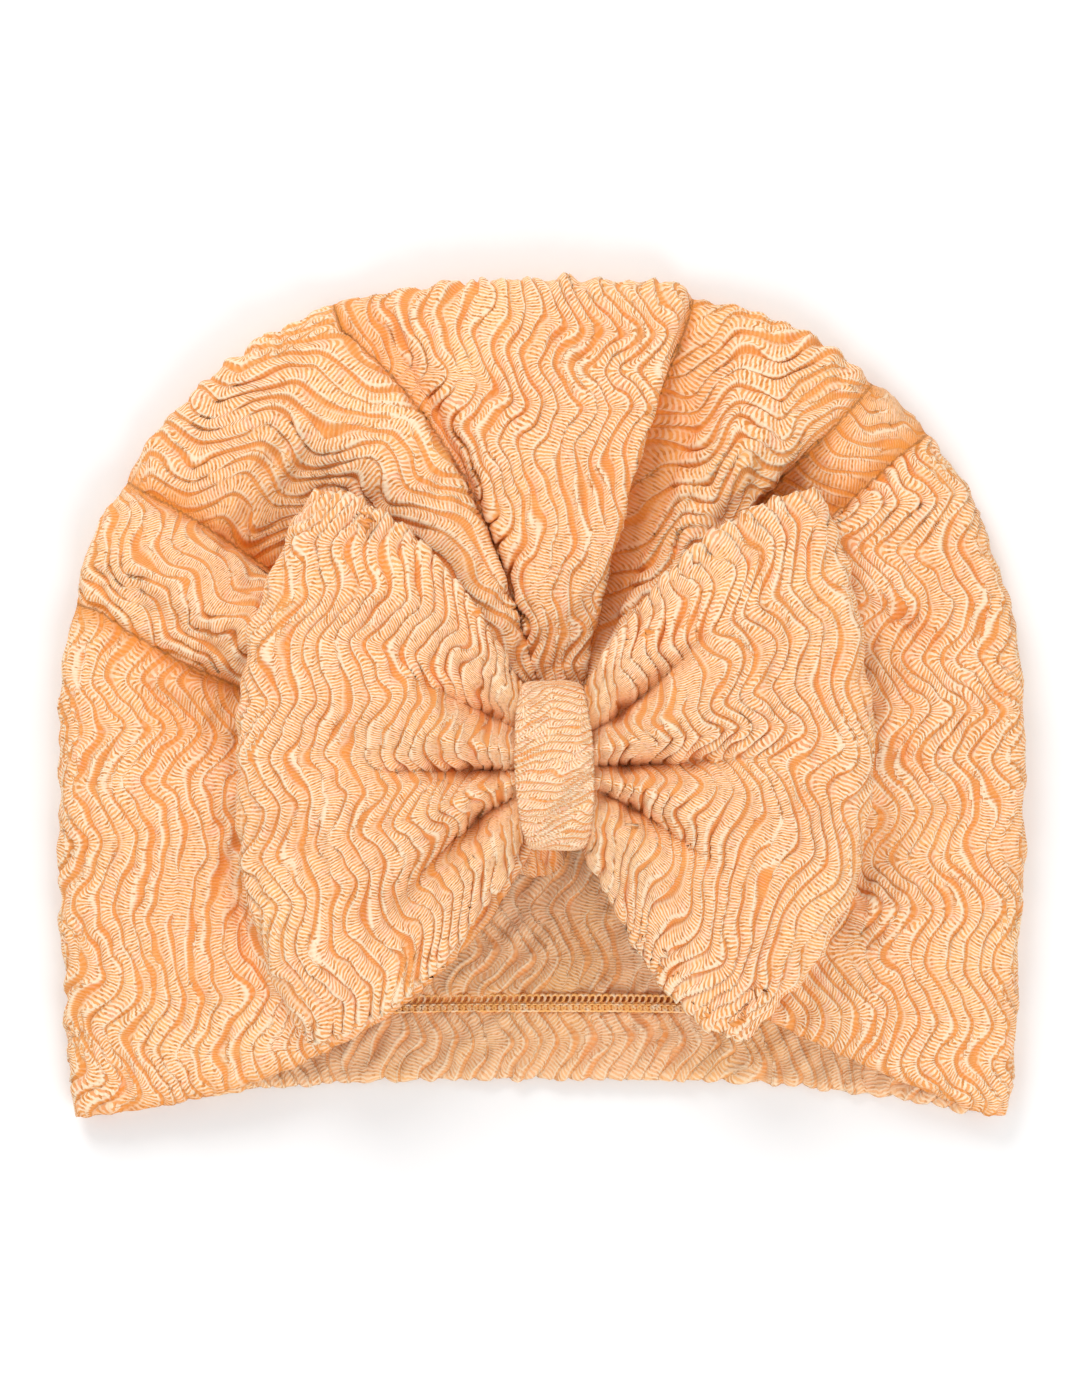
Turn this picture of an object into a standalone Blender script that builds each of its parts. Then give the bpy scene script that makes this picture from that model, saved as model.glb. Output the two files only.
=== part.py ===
"""A baby's knitted turban cap with a gathered bow, lying flat on its back layer.

Metres, +Z up. The origin is on the resting surface under the middle of the cap. +X runs across
the cap and +Y towards its crown, so the mouth opens towards -Y and the bow lies on top.
"""

import math
from collections import namedtuple

import bmesh
import bpy
import numpy as np

# Cloth and gaps
CLOTH = 0.0020
HEM_CLOTH = 0.0030
BOW_CLOTH = 0.0022
SEAT_GAP = 0.0003

# Cap, as it lies flat
CAP_WIDTH = 0.1860
CAP_HEIGHT = 0.1610
CAP_TOP = 0.0185
CROWN_HEIGHT = 0.0927
SIDE_TAPER = 0.0030
SIDE_FOLD_REACH = 0.0052
HEM_RISE = 0.0065
HEM_WIDTH = 0.0140
HEM_STEP = 0.0006
FOLD_DEPTH = 0.0050
GATHER_RADIUS = 0.0120

# Knot band, and the place where it sits on the cap
KNOT_X = 0.0024
KNOT_Y = -0.0129
BAND_WIDTH = 0.0147
BAND_HEIGHT = 0.0321
BAND_DEPTH = 0.0165
BAND_WAIST = 0.0025
BAND_POWER = 3.3
PINCH_END_GAP = 0.0010

# Bow: each loop is LOOP_PUFF high along its middle, LOOP_EDGE at its edges and LOOP_FOLD at its
# outer fold, which turns within LOOP_ROUND
LOOP_REACH = 0.0596
LOOP_HALF_HEIGHT = 0.0510
LOOP_PUFF = 0.0165
LOOP_EDGE = 0.0125
LOOP_FOLD = 0.0095
LOOP_ROUND = 0.0062
LOOP_BULGE = 0.0090
CREASE_DEPTH = 0.0075

# Shares that shape the cap's outline and its height
CROWN_POWER = 2.35
RIM_SHARE = 0.55
RIM_POWER = 2.5
MOUTH_SHARE = 0.62
MOUTH_POWER = 1.5
HEM_POWER = 3.0
CREASE_AT = 0.35
MIDDLE_AT = 0.6

# Fold lines of the front layer, from its left edge over the crown to its right edge. Each runs
# from the knot out to the side fold. It has three bearings on the way, in degrees clockwise from
# +Y, and the first and last are cut back to the cap's corners. Its drops below the cap's rounded
# top are shares of FOLD_DEPTH. A sharp line is the bottom of a crease.
FoldLine = namedtuple("FoldLine", "name rim_deg middle_deg knot_deg rim_drop middle_drop sharp")
FOLD_LINES = (
    FoldLine("left_front_edge", -130.0, -141.0, -165.0, 0.00, 0.10, False),
    FoldLine("left_low_crest", -117.0, -126.0, -146.0, 0.00, 0.00, False),
    FoldLine("left_low_dip", -106.0, -113.0, -126.0, 0.05, 0.45, False),
    FoldLine("left_side_crest", -89.0, -92.0, -102.0, 0.00, 0.00, False),
    FoldLine("low_pleat_foot", -70.5, -75.0, -80.0, 0.15, 0.85, True),
    FoldLine("low_pleat_crest", -65.0, -66.0, -69.0, 0.00, 0.00, False),
    FoldLine("low_pleat_edge", -59.0, -57.0, -58.0, 0.05, 0.05, False),
    FoldLine("low_pleat_tuck", -55.5, -53.0, -53.0, 0.30, 0.95, True),
    FoldLine("big_pleat_slope", -46.0, -42.0, -41.0, 0.10, 0.35, False),
    FoldLine("big_pleat_crest", -35.0, -27.5, -27.0, 0.00, 0.00, False),
    FoldLine("big_pleat_edge", -29.5, -21.0, -20.0, 0.00, 0.05, False),
    FoldLine("big_pleat_tuck", -26.0, -17.5, -14.5, 0.35, 0.85, True),
    FoldLine("centre_left_rise", -18.0, -12.5, -8.0, 0.15, 0.30, False),
    FoldLine("centre_crest", -3.0, -1.0, 2.0, 0.00, 0.00, False),
    FoldLine("centre_edge", 15.3, 15.0, 15.0, 0.00, 0.00, False),
    FoldLine("centre_tuck", 18.5, 18.5, 20.0, 0.45, 1.00, True),
    FoldLine("right_ridge_crest", 31.5, 30.5, 31.0, 0.05, 0.00, False),
    FoldLine("right_ridge_edge", 37.3, 36.8, 36.5, 0.05, 0.05, False),
    FoldLine("right_ridge_tuck", 40.8, 40.5, 41.0, 0.30, 1.00, True),
    FoldLine("right_low_tuck", 48.5, 47.5, 47.5, 0.30, 0.80, True),
    FoldLine("right_low_edge", 52.2, 51.2, 52.0, 0.05, 0.05, False),
    FoldLine("right_low_crest", 60.5, 60.5, 63.0, 0.00, 0.00, False),
    FoldLine("right_side_dip", 68.0, 69.0, 76.0, 0.05, 0.45, False),
    FoldLine("right_side_crest", 88.0, 90.0, 98.0, 0.00, 0.00, False),
    FoldLine("right_waist_dip", 106.0, 113.0, 122.0, 0.05, 0.45, False),
    FoldLine("right_front_crest", 117.0, 124.0, 142.0, 0.00, 0.00, False),
    FoldLine("right_front_edge", 131.0, 138.0, 163.0, 0.00, 0.10, False),
)

# The bow's two loops. Each corner's inset is a share of the loop's reach.
Loop = namedtuple("Loop", "name side top_inset bottom_inset")
LOOPS = (
    Loop("right", 1, 0.16, 0.39),
    Loop("left", -1, 0.24, 0.21),
)
CORNER_POWER = 2.3

# Shares of the way out from the knot where a loop has come to lie on the cap and where a crease is
# deepest, and the share of the way to its edge where a loop starts to thin
LIFT_END = 0.4
CREASE_GROWTH = 0.3
EDGE_START = 0.4

# Creases that run out of the knot across each loop. Places across the loop go from -1, its lower
# edge, to 1, its upper edge; reach is a share of the loop's, and depth a share of CREASE_DEPTH.
Crease = namedtuple("Crease", "loop knot_place far_place reach depth width")
CREASES = (
    Crease("left", 0.45, 0.47, 0.62, 0.80, 0.16),
    Crease("left", -0.03, 0.01, 0.75, 1.00, 0.14),
    Crease("left", -0.36, -0.80, 0.70, 0.85, 0.16),
    Crease("right", 0.42, 0.85, 0.55, 0.80, 0.16),
    Crease("right", 0.00, 0.08, 0.78, 1.00, 0.14),
    Crease("right", -0.30, -0.65, 0.55, 0.85, 0.16),
)

# Fineness of the meshes
SIDE_STEPS = 14
CROWN_STEPS = 48
FOLD_STEP_DEG = 5.0
FOLD_STEPS_LEAST = 2
FRONT_ROWS = 12
ROUND_ROWS = 6
HEM_STEPS = 16
LOOP_STEPS = 11
LOOP_TURN_STEPS = 5
LOOP_ROWS = 20
BAND_STEPS = 32
BAND_ROWS = 5

PEACH = (0.93, 0.58, 0.33, 1.0)
ROSE_PEACH = (0.92, 0.55, 0.36, 1.0)
KNIT_ROUGHNESS = 0.85


def clear_scene():
    for old in list(bpy.data.objects):
        bpy.data.objects.remove(old)


def knit_material(name, colour):
    material = bpy.data.materials.new(name)
    material.use_nodes = True
    shader = material.node_tree.nodes["Principled BSDF"]
    shader.inputs["Base Color"].default_value = colour
    shader.inputs["Roughness"].default_value = KNIT_ROUGHNESS
    shader.inputs["Metallic"].default_value = 0.0
    material.diffuse_color = colour
    return material


def ease(share):
    """A smooth step from 0 to 1."""
    share = np.clip(share, 0.0, 1.0)
    return share * share * (3.0 - 2.0 * share)


# The cap's outline and its rounded top


def dome_centre_y():
    return CAP_HEIGHT / 2 - CROWN_HEIGHT


def outline_points():
    """The cap's outline from its left corner, over the crown, to its right corner."""
    half, low, middle = CAP_WIDTH / 2, -CAP_HEIGHT / 2, dome_centre_y()
    climb = np.linspace(0.0, 1.0, SIDE_STEPS, endpoint=False)
    left = np.stack([-half + SIDE_TAPER * (1 - climb) ** 2, low + climb * (middle - low)], axis=1)
    turn = np.linspace(math.pi, 0.0, CROWN_STEPS + 1)
    cosine, sine = np.cos(turn), np.clip(np.sin(turn), 0.0, None)
    power = 2 / CROWN_POWER
    crown_x = half * np.sign(cosine) * np.abs(cosine) ** power
    crown = np.stack([crown_x, middle + CROWN_HEIGHT * sine**power], axis=1)
    right = left[::-1] * [-1, 1]
    return np.concatenate([left, crown, right])


def rim_at(bearing):
    """Where a bearing from the knot meets the inner side of the side fold, and the way out there.

    Gives the distance and the bearing, cut back to the cap's corners, and the outline's normal.
    """
    outline = outline_points()
    run = np.gradient(outline, axis=0)
    normals = np.stack([-run[:, 1], run[:, 0]], axis=1) / np.linalg.norm(run, axis=1)[:, None]
    from_knot = outline - SIDE_FOLD_REACH * normals - [KNOT_X, KNOT_Y]
    bearings = np.degrees(np.unwrap(np.arctan2(from_knot[:, 0], from_knot[:, 1])))
    bearing = float(np.clip(bearing, bearings[0], bearings[-1]))
    distance = np.interp(bearing, bearings, np.linalg.norm(from_knot, axis=1))
    way_out = [np.interp(bearing, bearings, normals[:, axis]) for axis in range(2)]
    return distance, bearing, way_out


def cap_top(x, y):
    """Height of the rounded top that the pleats' crests reach."""
    middle = dome_centre_y()
    above = np.maximum(y - middle, 0.0) / CROWN_HEIGHT
    out = ((np.abs(x) / (CAP_WIDTH / 2)) ** CROWN_POWER + above**CROWN_POWER) ** (1 / CROWN_POWER)
    rounding = 1 - (1 - RIM_SHARE) * np.minimum(out, 1.0) ** RIM_POWER
    below = np.maximum(middle - y, 0.0) / (middle + CAP_HEIGHT / 2)
    closing = 1 - (1 - MOUTH_SHARE) * np.minimum(below, 1.0) ** MOUTH_POWER
    return CAP_TOP * rounding * closing


# The cap's front layer


def line_drop(share, line):
    """A fold line's drop: none at the gather, then its middle one, then its rim one."""
    outer = (line.rim_drop - line.middle_drop) * ease((share - MIDDLE_AT) / (1 - MIDDLE_AT))
    return FOLD_DEPTH * (line.middle_drop * ease(share / CREASE_AT) + outer)


def bend_line(share, at_knot, at_middle, at_rim):
    """A bearing along a fold line: one even bend through its three places."""
    to_middle = (at_middle - at_knot) / MIDDLE_AT
    to_rim = at_rim - at_knot
    bend = (to_rim - to_middle) / (1 - MIDDLE_AT)
    return at_knot + to_middle * share + bend * share * (share - MIDDLE_AT)


def between(share, first, second):
    """How far a pleat's side has gone from one fold line to the next, steep at a sharp one."""
    if first.sharp and not second.sharp:
        return 1 - (1 - share) ** 2
    if second.sharp and not first.sharp:
        return share**2
    return ease(share)


def front_columns():
    """The fold lines with steps between them, as (line, next line, share of the way)."""
    columns = []
    for line, following in zip(FOLD_LINES, FOLD_LINES[1:]):
        steps = round((following.middle_deg - line.middle_deg) / FOLD_STEP_DEG)
        steps = max(FOLD_STEPS_LEAST, steps)
        columns += [(line, following, step / steps) for step in range(steps)]
    return columns + [(FOLD_LINES[-2], FOLD_LINES[-1], 1.0)]


def column_points(line, following, share):
    """One column of the cap, from the gather at the knot over the side fold to the underside."""
    mixed = between(share, line, following)
    rim_deg = line.rim_deg + share * (following.rim_deg - line.rim_deg)
    reach, rim_deg, way_out = rim_at(rim_deg)
    middle_deg = line.middle_deg + share * (following.middle_deg - line.middle_deg)
    knot_deg = line.knot_deg + share * (following.knot_deg - line.knot_deg)
    points = []
    for along in np.linspace(0.0, 1.0, FRONT_ROWS):
        bearing = math.radians(bend_line(along, knot_deg, middle_deg, rim_deg))
        distance = GATHER_RADIUS + along * (reach - GATHER_RADIUS)
        x = KNOT_X + distance * math.sin(bearing)
        y = KNOT_Y + distance * math.cos(bearing)
        start, end = line_drop(along, line), line_drop(along, following)
        drop = start + mixed * (end - start)
        points.append((x, y, float(cap_top(x, y)) - drop))
    rim_x, rim_y, top = points[-1]
    turns = [math.radians(turn) for turn in np.linspace(90.0, -90.0, ROUND_ROWS + 1)[1:]]
    steps = [(SIDE_FOLD_REACH * math.cos(turn), 1 + math.sin(turn)) for turn in turns]
    for out, up in steps + [(-SIDE_FOLD_REACH / 2, 0.0)]:
        points.append((rim_x + out * way_out[0], rim_y + out * way_out[1], top / 2 * up))
    return points


def hem_line(start, end, offset):
    """Points of the back layer's lower edge, or of a line beside it, between two columns' ends."""
    half = (end[0] - start[0]) / 2
    centre = (end[0] + start[0]) / 2
    points = []
    for x in np.linspace(start[0], end[0], HEM_STEPS + 1)[1:-1]:
        share = abs(x - centre) / half
        corner_y = start[1] if x < centre else end[1]
        y = corner_y + HEM_RISE * (1 - share**HEM_POWER)
        points.append((x, y + offset, 0.0))
    return points


def make_sheet(name, material):
    """An empty mesh object to build a piece of cloth in, and its bmesh."""
    mesh = bpy.data.meshes.new(name)
    cloth = bpy.data.objects.new(name, mesh)
    bpy.context.scene.collection.objects.link(cloth)
    mesh.materials.append(material)
    return cloth, bmesh.new()


def add_grid(shape, rows, closed=False):
    """Adds a grid of faces through rows of points, and returns its vertices row by row."""
    grid = [[shape.verts.new(point) for point in row] for row in rows]
    pairs = list(zip(grid, grid[1:]))
    if closed:
        pairs.append((grid[-1], grid[0]))
    for first, second in pairs:
        for a, b, c, d in zip(first, first[1:], second[1:], second):
            shape.faces.new((a, b, c, d))
    return grid


def thicken(cloth, shape, thickness, inner_share=None):
    """Gives the sheet its wall, inwards from the face that was modelled."""
    bmesh.ops.recalc_face_normals(shape, faces=shape.faces)
    shape.to_mesh(cloth.data)
    shape.free()
    wall = cloth.modifiers.new("wall", "SOLIDIFY")
    wall.thickness = thickness
    wall.offset = -1.0
    wall.use_even_offset = True
    if inner_share is not None:
        group = cloth.vertex_groups.new(name="wall_share")
        for index, share in enumerate(inner_share):
            group.add([index], share, "REPLACE")
        wall.vertex_group = group.name
        wall.thickness_vertex_group = 0.0
    cloth.data.shade_smooth()
    cloth.data.set_sharp_from_angle(angle=math.radians(40))


def make_cap_shell():
    cloth, shape = make_sheet("cap_shell", knit_material("peach_knit", PEACH))
    hem = shape.verts.layers.int.new("hem")
    columns = [column_points(*column) for column in front_columns()]
    grid = add_grid(shape, columns)
    close_gather(shape, grid)
    close_back(shape, grid, hem)
    plain = CLOTH / HEM_CLOTH
    shares = [1.0 if vert[hem] else plain for vert in shape.verts]
    thicken(cloth, shape, HEM_CLOTH, shares)


def close_gather(shape, grid):
    """Closes the front layer's gather under the knot with a fan of faces."""
    height = float(cap_top(KNOT_X, KNOT_Y))
    centre = shape.verts.new((KNOT_X, KNOT_Y, height))
    ring = [column[0] for column in grid]
    for a, b in zip(ring, ring[1:] + ring[:1]):
        shape.faces.new((a, b, centre))


def close_back(shape, grid, hem):
    """Closes the flat back layer, with the double cloth of its turned hem."""
    left, right = grid[0][-1], grid[-1][-1]
    lines = []
    for offset in (0.0, HEM_WIDTH, HEM_WIDTH + HEM_STEP):
        points = hem_line(left.co, right.co, offset)
        lines.append([shape.verts.new(point) for point in points])
    edge, stitched, plain = lines
    under = [column[-1] for column in grid]
    for lower, upper in ((edge, stitched), (stitched, plain)):
        for a, b, c, d in zip(lower, lower[1:], upper[1:], upper):
            shape.faces.new((a, b, c, d))
    for vert in edge + stitched:
        vert[hem] = 1
    around = under + [edge[-1], stitched[-1]] + plain[::-1] + [stitched[0], edge[0]]
    shape.faces.new(around)


# The bow


def loop_place(loop, place, out):
    """Position in plan on a loop: place from -1 to 1 across it, out from 0 at the knot to 1."""
    across = abs(place)
    inset = loop.top_inset if place > 0 else loop.bottom_inset
    far_x = LOOP_REACH * (1 - inset * across**CORNER_POWER)
    far_y = place * LOOP_HALF_HEIGHT
    near_x, near_y = pinch_half_width(), place * pinch_half_height()
    x = near_x + out * (far_x - near_x)
    bulge = LOOP_BULGE * place * across * 4 * out * (1 - out)
    y = near_y + out * (far_y - near_y) + bulge
    return KNOT_X + loop.side * x, KNOT_Y + y


def pinch_half_width():
    return BAND_WIDTH / 2 + SEAT_GAP


def pinch_half_height():
    return BAND_HEIGHT / 2 - CLOTH - PINCH_END_GAP


def band_middle_z():
    return float(cap_top(KNOT_X, KNOT_Y)) + SEAT_GAP + BAND_DEPTH / 2


def pinch_half_thickness(place):
    """Half the height of the gathered bow inside the band."""
    most = BAND_DEPTH / 2 - CLOTH - SEAT_GAP
    rounded = most * (1 - abs(place) ** BAND_POWER) ** (1 / BAND_POWER)
    return max(rounded, BOW_CLOTH + SEAT_GAP / 2)


def crease_depth(loop, place, out):
    """How deep the creases that run out of the knot are at a place on a loop."""
    depth = 0.0
    for crease in CREASES:
        if crease.loop != loop.name:
            continue
        at = crease.knot_place + (crease.far_place - crease.knot_place) * out
        away = (place - at) / crease.width
        fade = ease(out / CREASE_GROWTH) * (1 - ease(out / crease.reach))
        depth += CREASE_DEPTH * crease.depth * fade * math.exp(-away * away)
    return depth


def loop_faces(loop, place, out):
    """Heights of a loop's underside and top. The loop lies on the cap and rises into the band."""
    x, y = loop_place(loop, place, out)
    free = ease(out / LIFT_END)
    resting = float(cap_top(x, y)) + SEAT_GAP
    underside = band_middle_z() - pinch_half_thickness(place)
    underside += (resting - underside) * free
    thinning = ease((abs(place) - EDGE_START) / (1 - EDGE_START))
    puff = LOOP_PUFF + (LOOP_EDGE - LOOP_PUFF) * thinning
    flattening = (LOOP_FOLD - puff) * ease((out - LIFT_END) / (1 - LIFT_END))
    pinched = 2 * pinch_half_thickness(place)
    thickness = pinched + (puff - pinched) * free + flattening
    thickness -= crease_depth(loop, place, out)
    return underside, underside + max(thickness, 2 * BOW_CLOTH + SEAT_GAP)


def loop_section(loop, place):
    """Points round one loop: out along its top, over its outer fold and back underneath."""
    turn_start = 1 - LOOP_ROUND / LOOP_REACH
    tops, undersides, turned = [], [], []
    for out in np.linspace(0.0, turn_start, LOOP_STEPS):
        low, high = loop_faces(loop, place, out)
        tops.append((*loop_place(loop, place, out), high))
        undersides.append((*loop_place(loop, place, out), low))
    low, high = loop_faces(loop, place, turn_start)
    for turn in np.linspace(90.0, -90.0, LOOP_TURN_STEPS + 1)[1:-1]:
        out = turn_start + (1 - turn_start) * math.cos(math.radians(turn))
        up = (high - low) / 2 * (1 + math.sin(math.radians(turn)))
        turned.append((*loop_place(loop, place, out), low + up))
    return tops + turned + undersides[::-1]


def make_bow():
    cloth, shape = make_sheet("bow", knit_material("bow_knit", PEACH))
    right, left = LOOPS
    rows = []
    for place in np.linspace(-1.0, 1.0, LOOP_ROWS + 1):
        rows.append(loop_section(right, place) + loop_section(left, place)[::-1])
    add_grid(shape, [list(belt) for belt in zip(*rows)], closed=True)
    thicken(cloth, shape, BOW_CLOTH)


# The band round the knot


def make_knot_band():
    cloth, shape = make_sheet("knot_band", knit_material("band_knit", ROSE_PEACH))
    power = 2 / BAND_POWER
    rings = []
    for turn in np.linspace(0.0, 2 * math.pi, BAND_STEPS, endpoint=False):
        up, across = math.sin(turn), math.cos(turn)
        z = band_middle_z() + BAND_DEPTH / 2 * math.copysign(abs(up) ** power, up)
        y = KNOT_Y + BAND_HEIGHT / 2 * math.copysign(abs(across) ** power, across)
        half_width = BAND_WIDTH / 2 - BAND_WAIST / 2 * across**4
        ring = [
            (KNOT_X + side * half_width, y, z) for side in np.linspace(-1.0, 1.0, BAND_ROWS + 1)
        ]
        rings.append(ring)
    add_grid(shape, rings, closed=True)
    thicken(cloth, shape, CLOTH)


clear_scene()
make_cap_shell()
make_bow()
make_knot_band()
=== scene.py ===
"""The looks of a baby's knitted turban cap with a gathered bow, lying flat on its back layer.

Metres, +Z up. The cap's crown points to +Y and its mouth to -Y. Each operator makes one piece, or
the bow's two: a grid is laid out in plan, folded, and given its wavy ribs and then its wall. The
ribs' places are stored on the mesh, and the material draws its stitches along them.
"""

import math
from collections import namedtuple

import bpy
import numpy as np
from bpy.props import FloatProperty, FloatVectorProperty, PointerProperty
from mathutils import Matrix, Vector


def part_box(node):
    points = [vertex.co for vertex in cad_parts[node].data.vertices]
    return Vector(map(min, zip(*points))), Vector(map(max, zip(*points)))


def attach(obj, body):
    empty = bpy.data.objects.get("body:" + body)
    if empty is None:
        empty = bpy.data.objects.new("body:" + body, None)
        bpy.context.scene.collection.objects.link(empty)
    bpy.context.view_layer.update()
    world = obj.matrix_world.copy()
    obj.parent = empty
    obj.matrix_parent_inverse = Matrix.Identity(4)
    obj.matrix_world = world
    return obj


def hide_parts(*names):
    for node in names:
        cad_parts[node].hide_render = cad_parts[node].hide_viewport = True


bl_info = {
    "name": "Knitted turban cap",
    "version": (1, 0, 0),
    "blender": (4, 5, 0),
    "location": "3D View > Sidebar > Turban cap",
    "description": "Makes a knitted turban cap with a bow, piece by piece, round its frame",
    "category": "Object",
}

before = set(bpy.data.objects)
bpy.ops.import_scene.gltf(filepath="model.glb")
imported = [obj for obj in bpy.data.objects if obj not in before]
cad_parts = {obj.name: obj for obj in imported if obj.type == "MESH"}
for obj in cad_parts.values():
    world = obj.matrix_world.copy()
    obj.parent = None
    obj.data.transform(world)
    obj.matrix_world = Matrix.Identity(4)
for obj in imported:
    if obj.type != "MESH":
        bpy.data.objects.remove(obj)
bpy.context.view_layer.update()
CAP_LOW, CAP_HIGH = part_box("cap_shell")
BOW_LOW, BOW_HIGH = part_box("bow")
BAND_LOW, BAND_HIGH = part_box("knot_band")

# Sizes read from the frame
CAP_WIDTH = CAP_HIGH.x - CAP_LOW.x
CAP_HEIGHT = CAP_HIGH.y - CAP_LOW.y
CAP_TOP = CAP_HIGH.z
KNOT_X = (BAND_LOW.x + BAND_HIGH.x) / 2
KNOT_Y = (BAND_LOW.y + BAND_HIGH.y) / 2
BAND_WIDTH = BAND_HIGH.x - BAND_LOW.x
BAND_HEIGHT = BAND_HIGH.y - BAND_LOW.y
BAND_DEPTH = BAND_HIGH.z - BAND_LOW.z
LOOP_REACH = (BOW_HIGH.x - BOW_LOW.x) / 2
LOOP_HALF_HEIGHT = (BOW_HIGH.y - BOW_LOW.y) / 2

# The cap's outline, its side fold and its rounded top
CROWN_HEIGHT = 0.0927
CROWN_POWER = 2.35
SIDE_TAPER = 0.0030
SIDE_STEPS = 60
CROWN_STEPS = 240
SHOULDER_AT = 0.36
SIDE_FOLD_REACH = 0.0052
SIDE_FOLD_LENGTH = 0.016
ROUND_SHARE = 0.85
UNDER_SHARE = 0.15
UNDER_RUN = 0.0030
UNDER_HEIGHT = 0.9
RIM_SHARE = 0.55
RIM_POWER = 2.5
MOUTH_SHARE = 0.62
MOUTH_POWER = 1.5

# The back layer and its hem
HEM_POINTS = 120
HEM_RISE = 0.0065
HEM_POWER = 3.0
HEM_WIDTH = 0.0143
HEM_STEP = 0.0007
HEM_STEP_WIDTH = 0.0008
BACK_OVERLAP = 0.0004
BACK_LIFT = 0.9
FLAT_SIDES_FROM = 0.070
FLAT_SIDES_RUN = 0.016
SEAM_WIDTH = 0.0017
SEAM_POWER = 4
SEAM_DIP = 0.0003
# Along the seam the lift drops, so the material paints the cloth under the braid in the darker
# orange of its fold shade.
SEAM_LIFT_LOSS = 0.65

# The braid of thread on the hem: one link's shape and slant, and where its two rows lie
LINK_RADIUS = 0.95
LINK_SHAPE = (0.58, 0.82, 1.0)
LINK_TILT = math.radians(14)
LINK_SLANT = math.radians(32)
SEAM_ROW = 0.0008
SEAM_HEIGHT = 0.0012
SEAM_END_GAP = 0.004

# The front layer's gather round the knot, where its ribs are tighter and calmer
GATHER_RADIUS = 0.0135
GATHER_FADE = 0.022
GATHER_TIGHTENING = 0.9
GATHER_CALMING = 0.6

# The front layer's fold lines, in shares of the way out from the gather to the rim: where they
# are full grown, and where their middle is. A line that drops more than a limit looks sharp.
CREASE_AT = 0.30
MIDDLE_AT = 0.6
SHARP_FROM = 0.7
TUCK_LOSS = 0.6
FRONT_EDGE_POINTS = 80

# What is left of the front layer's ribs in its folds, at its edge and where two runs of ribs meet.
# The front run is about how far it is from its edge to the crown.
# Where little is left, the material paints shade in darker orange.
FOLD_LIFT_LOSS = 0.50
DEEPEST_FOLD = 1.4
EDGE_LIFT = 0.5
EDGE_LIFT_WIDTH = 0.002
MEET_LIFT = 0.3
MEET_SHARE = 0.35
FRONT_RUN = 0.12

# How a cloth's edge turns down: how far, and over what width
Turn = namedtuple("Turn", "depth width")
FRONT_TURN = Turn(0.0012, 0.0016)
BACK_TURN = Turn(0.0008, 0.0012)
LOOP_TURN_DOWN = Turn(0.0010, 0.0014)

# Broad swells of a cloth: how high, how far apart, and the seed of their noise
Swell = namedtuple("Swell", "height size seed")
FRONT_SWELL = Swell(0.0006, 0.045, 5)
FRONT_SWELL_END = 0.8
FRONT_SWELL_FADE = 0.2
BACK_SWELL = Swell(0.0005, 0.05, 8)
LOOP_SWELL = Swell(0.0007, 0.030, 0)
LOOP_SWELL_GROWN = 0.3

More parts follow.
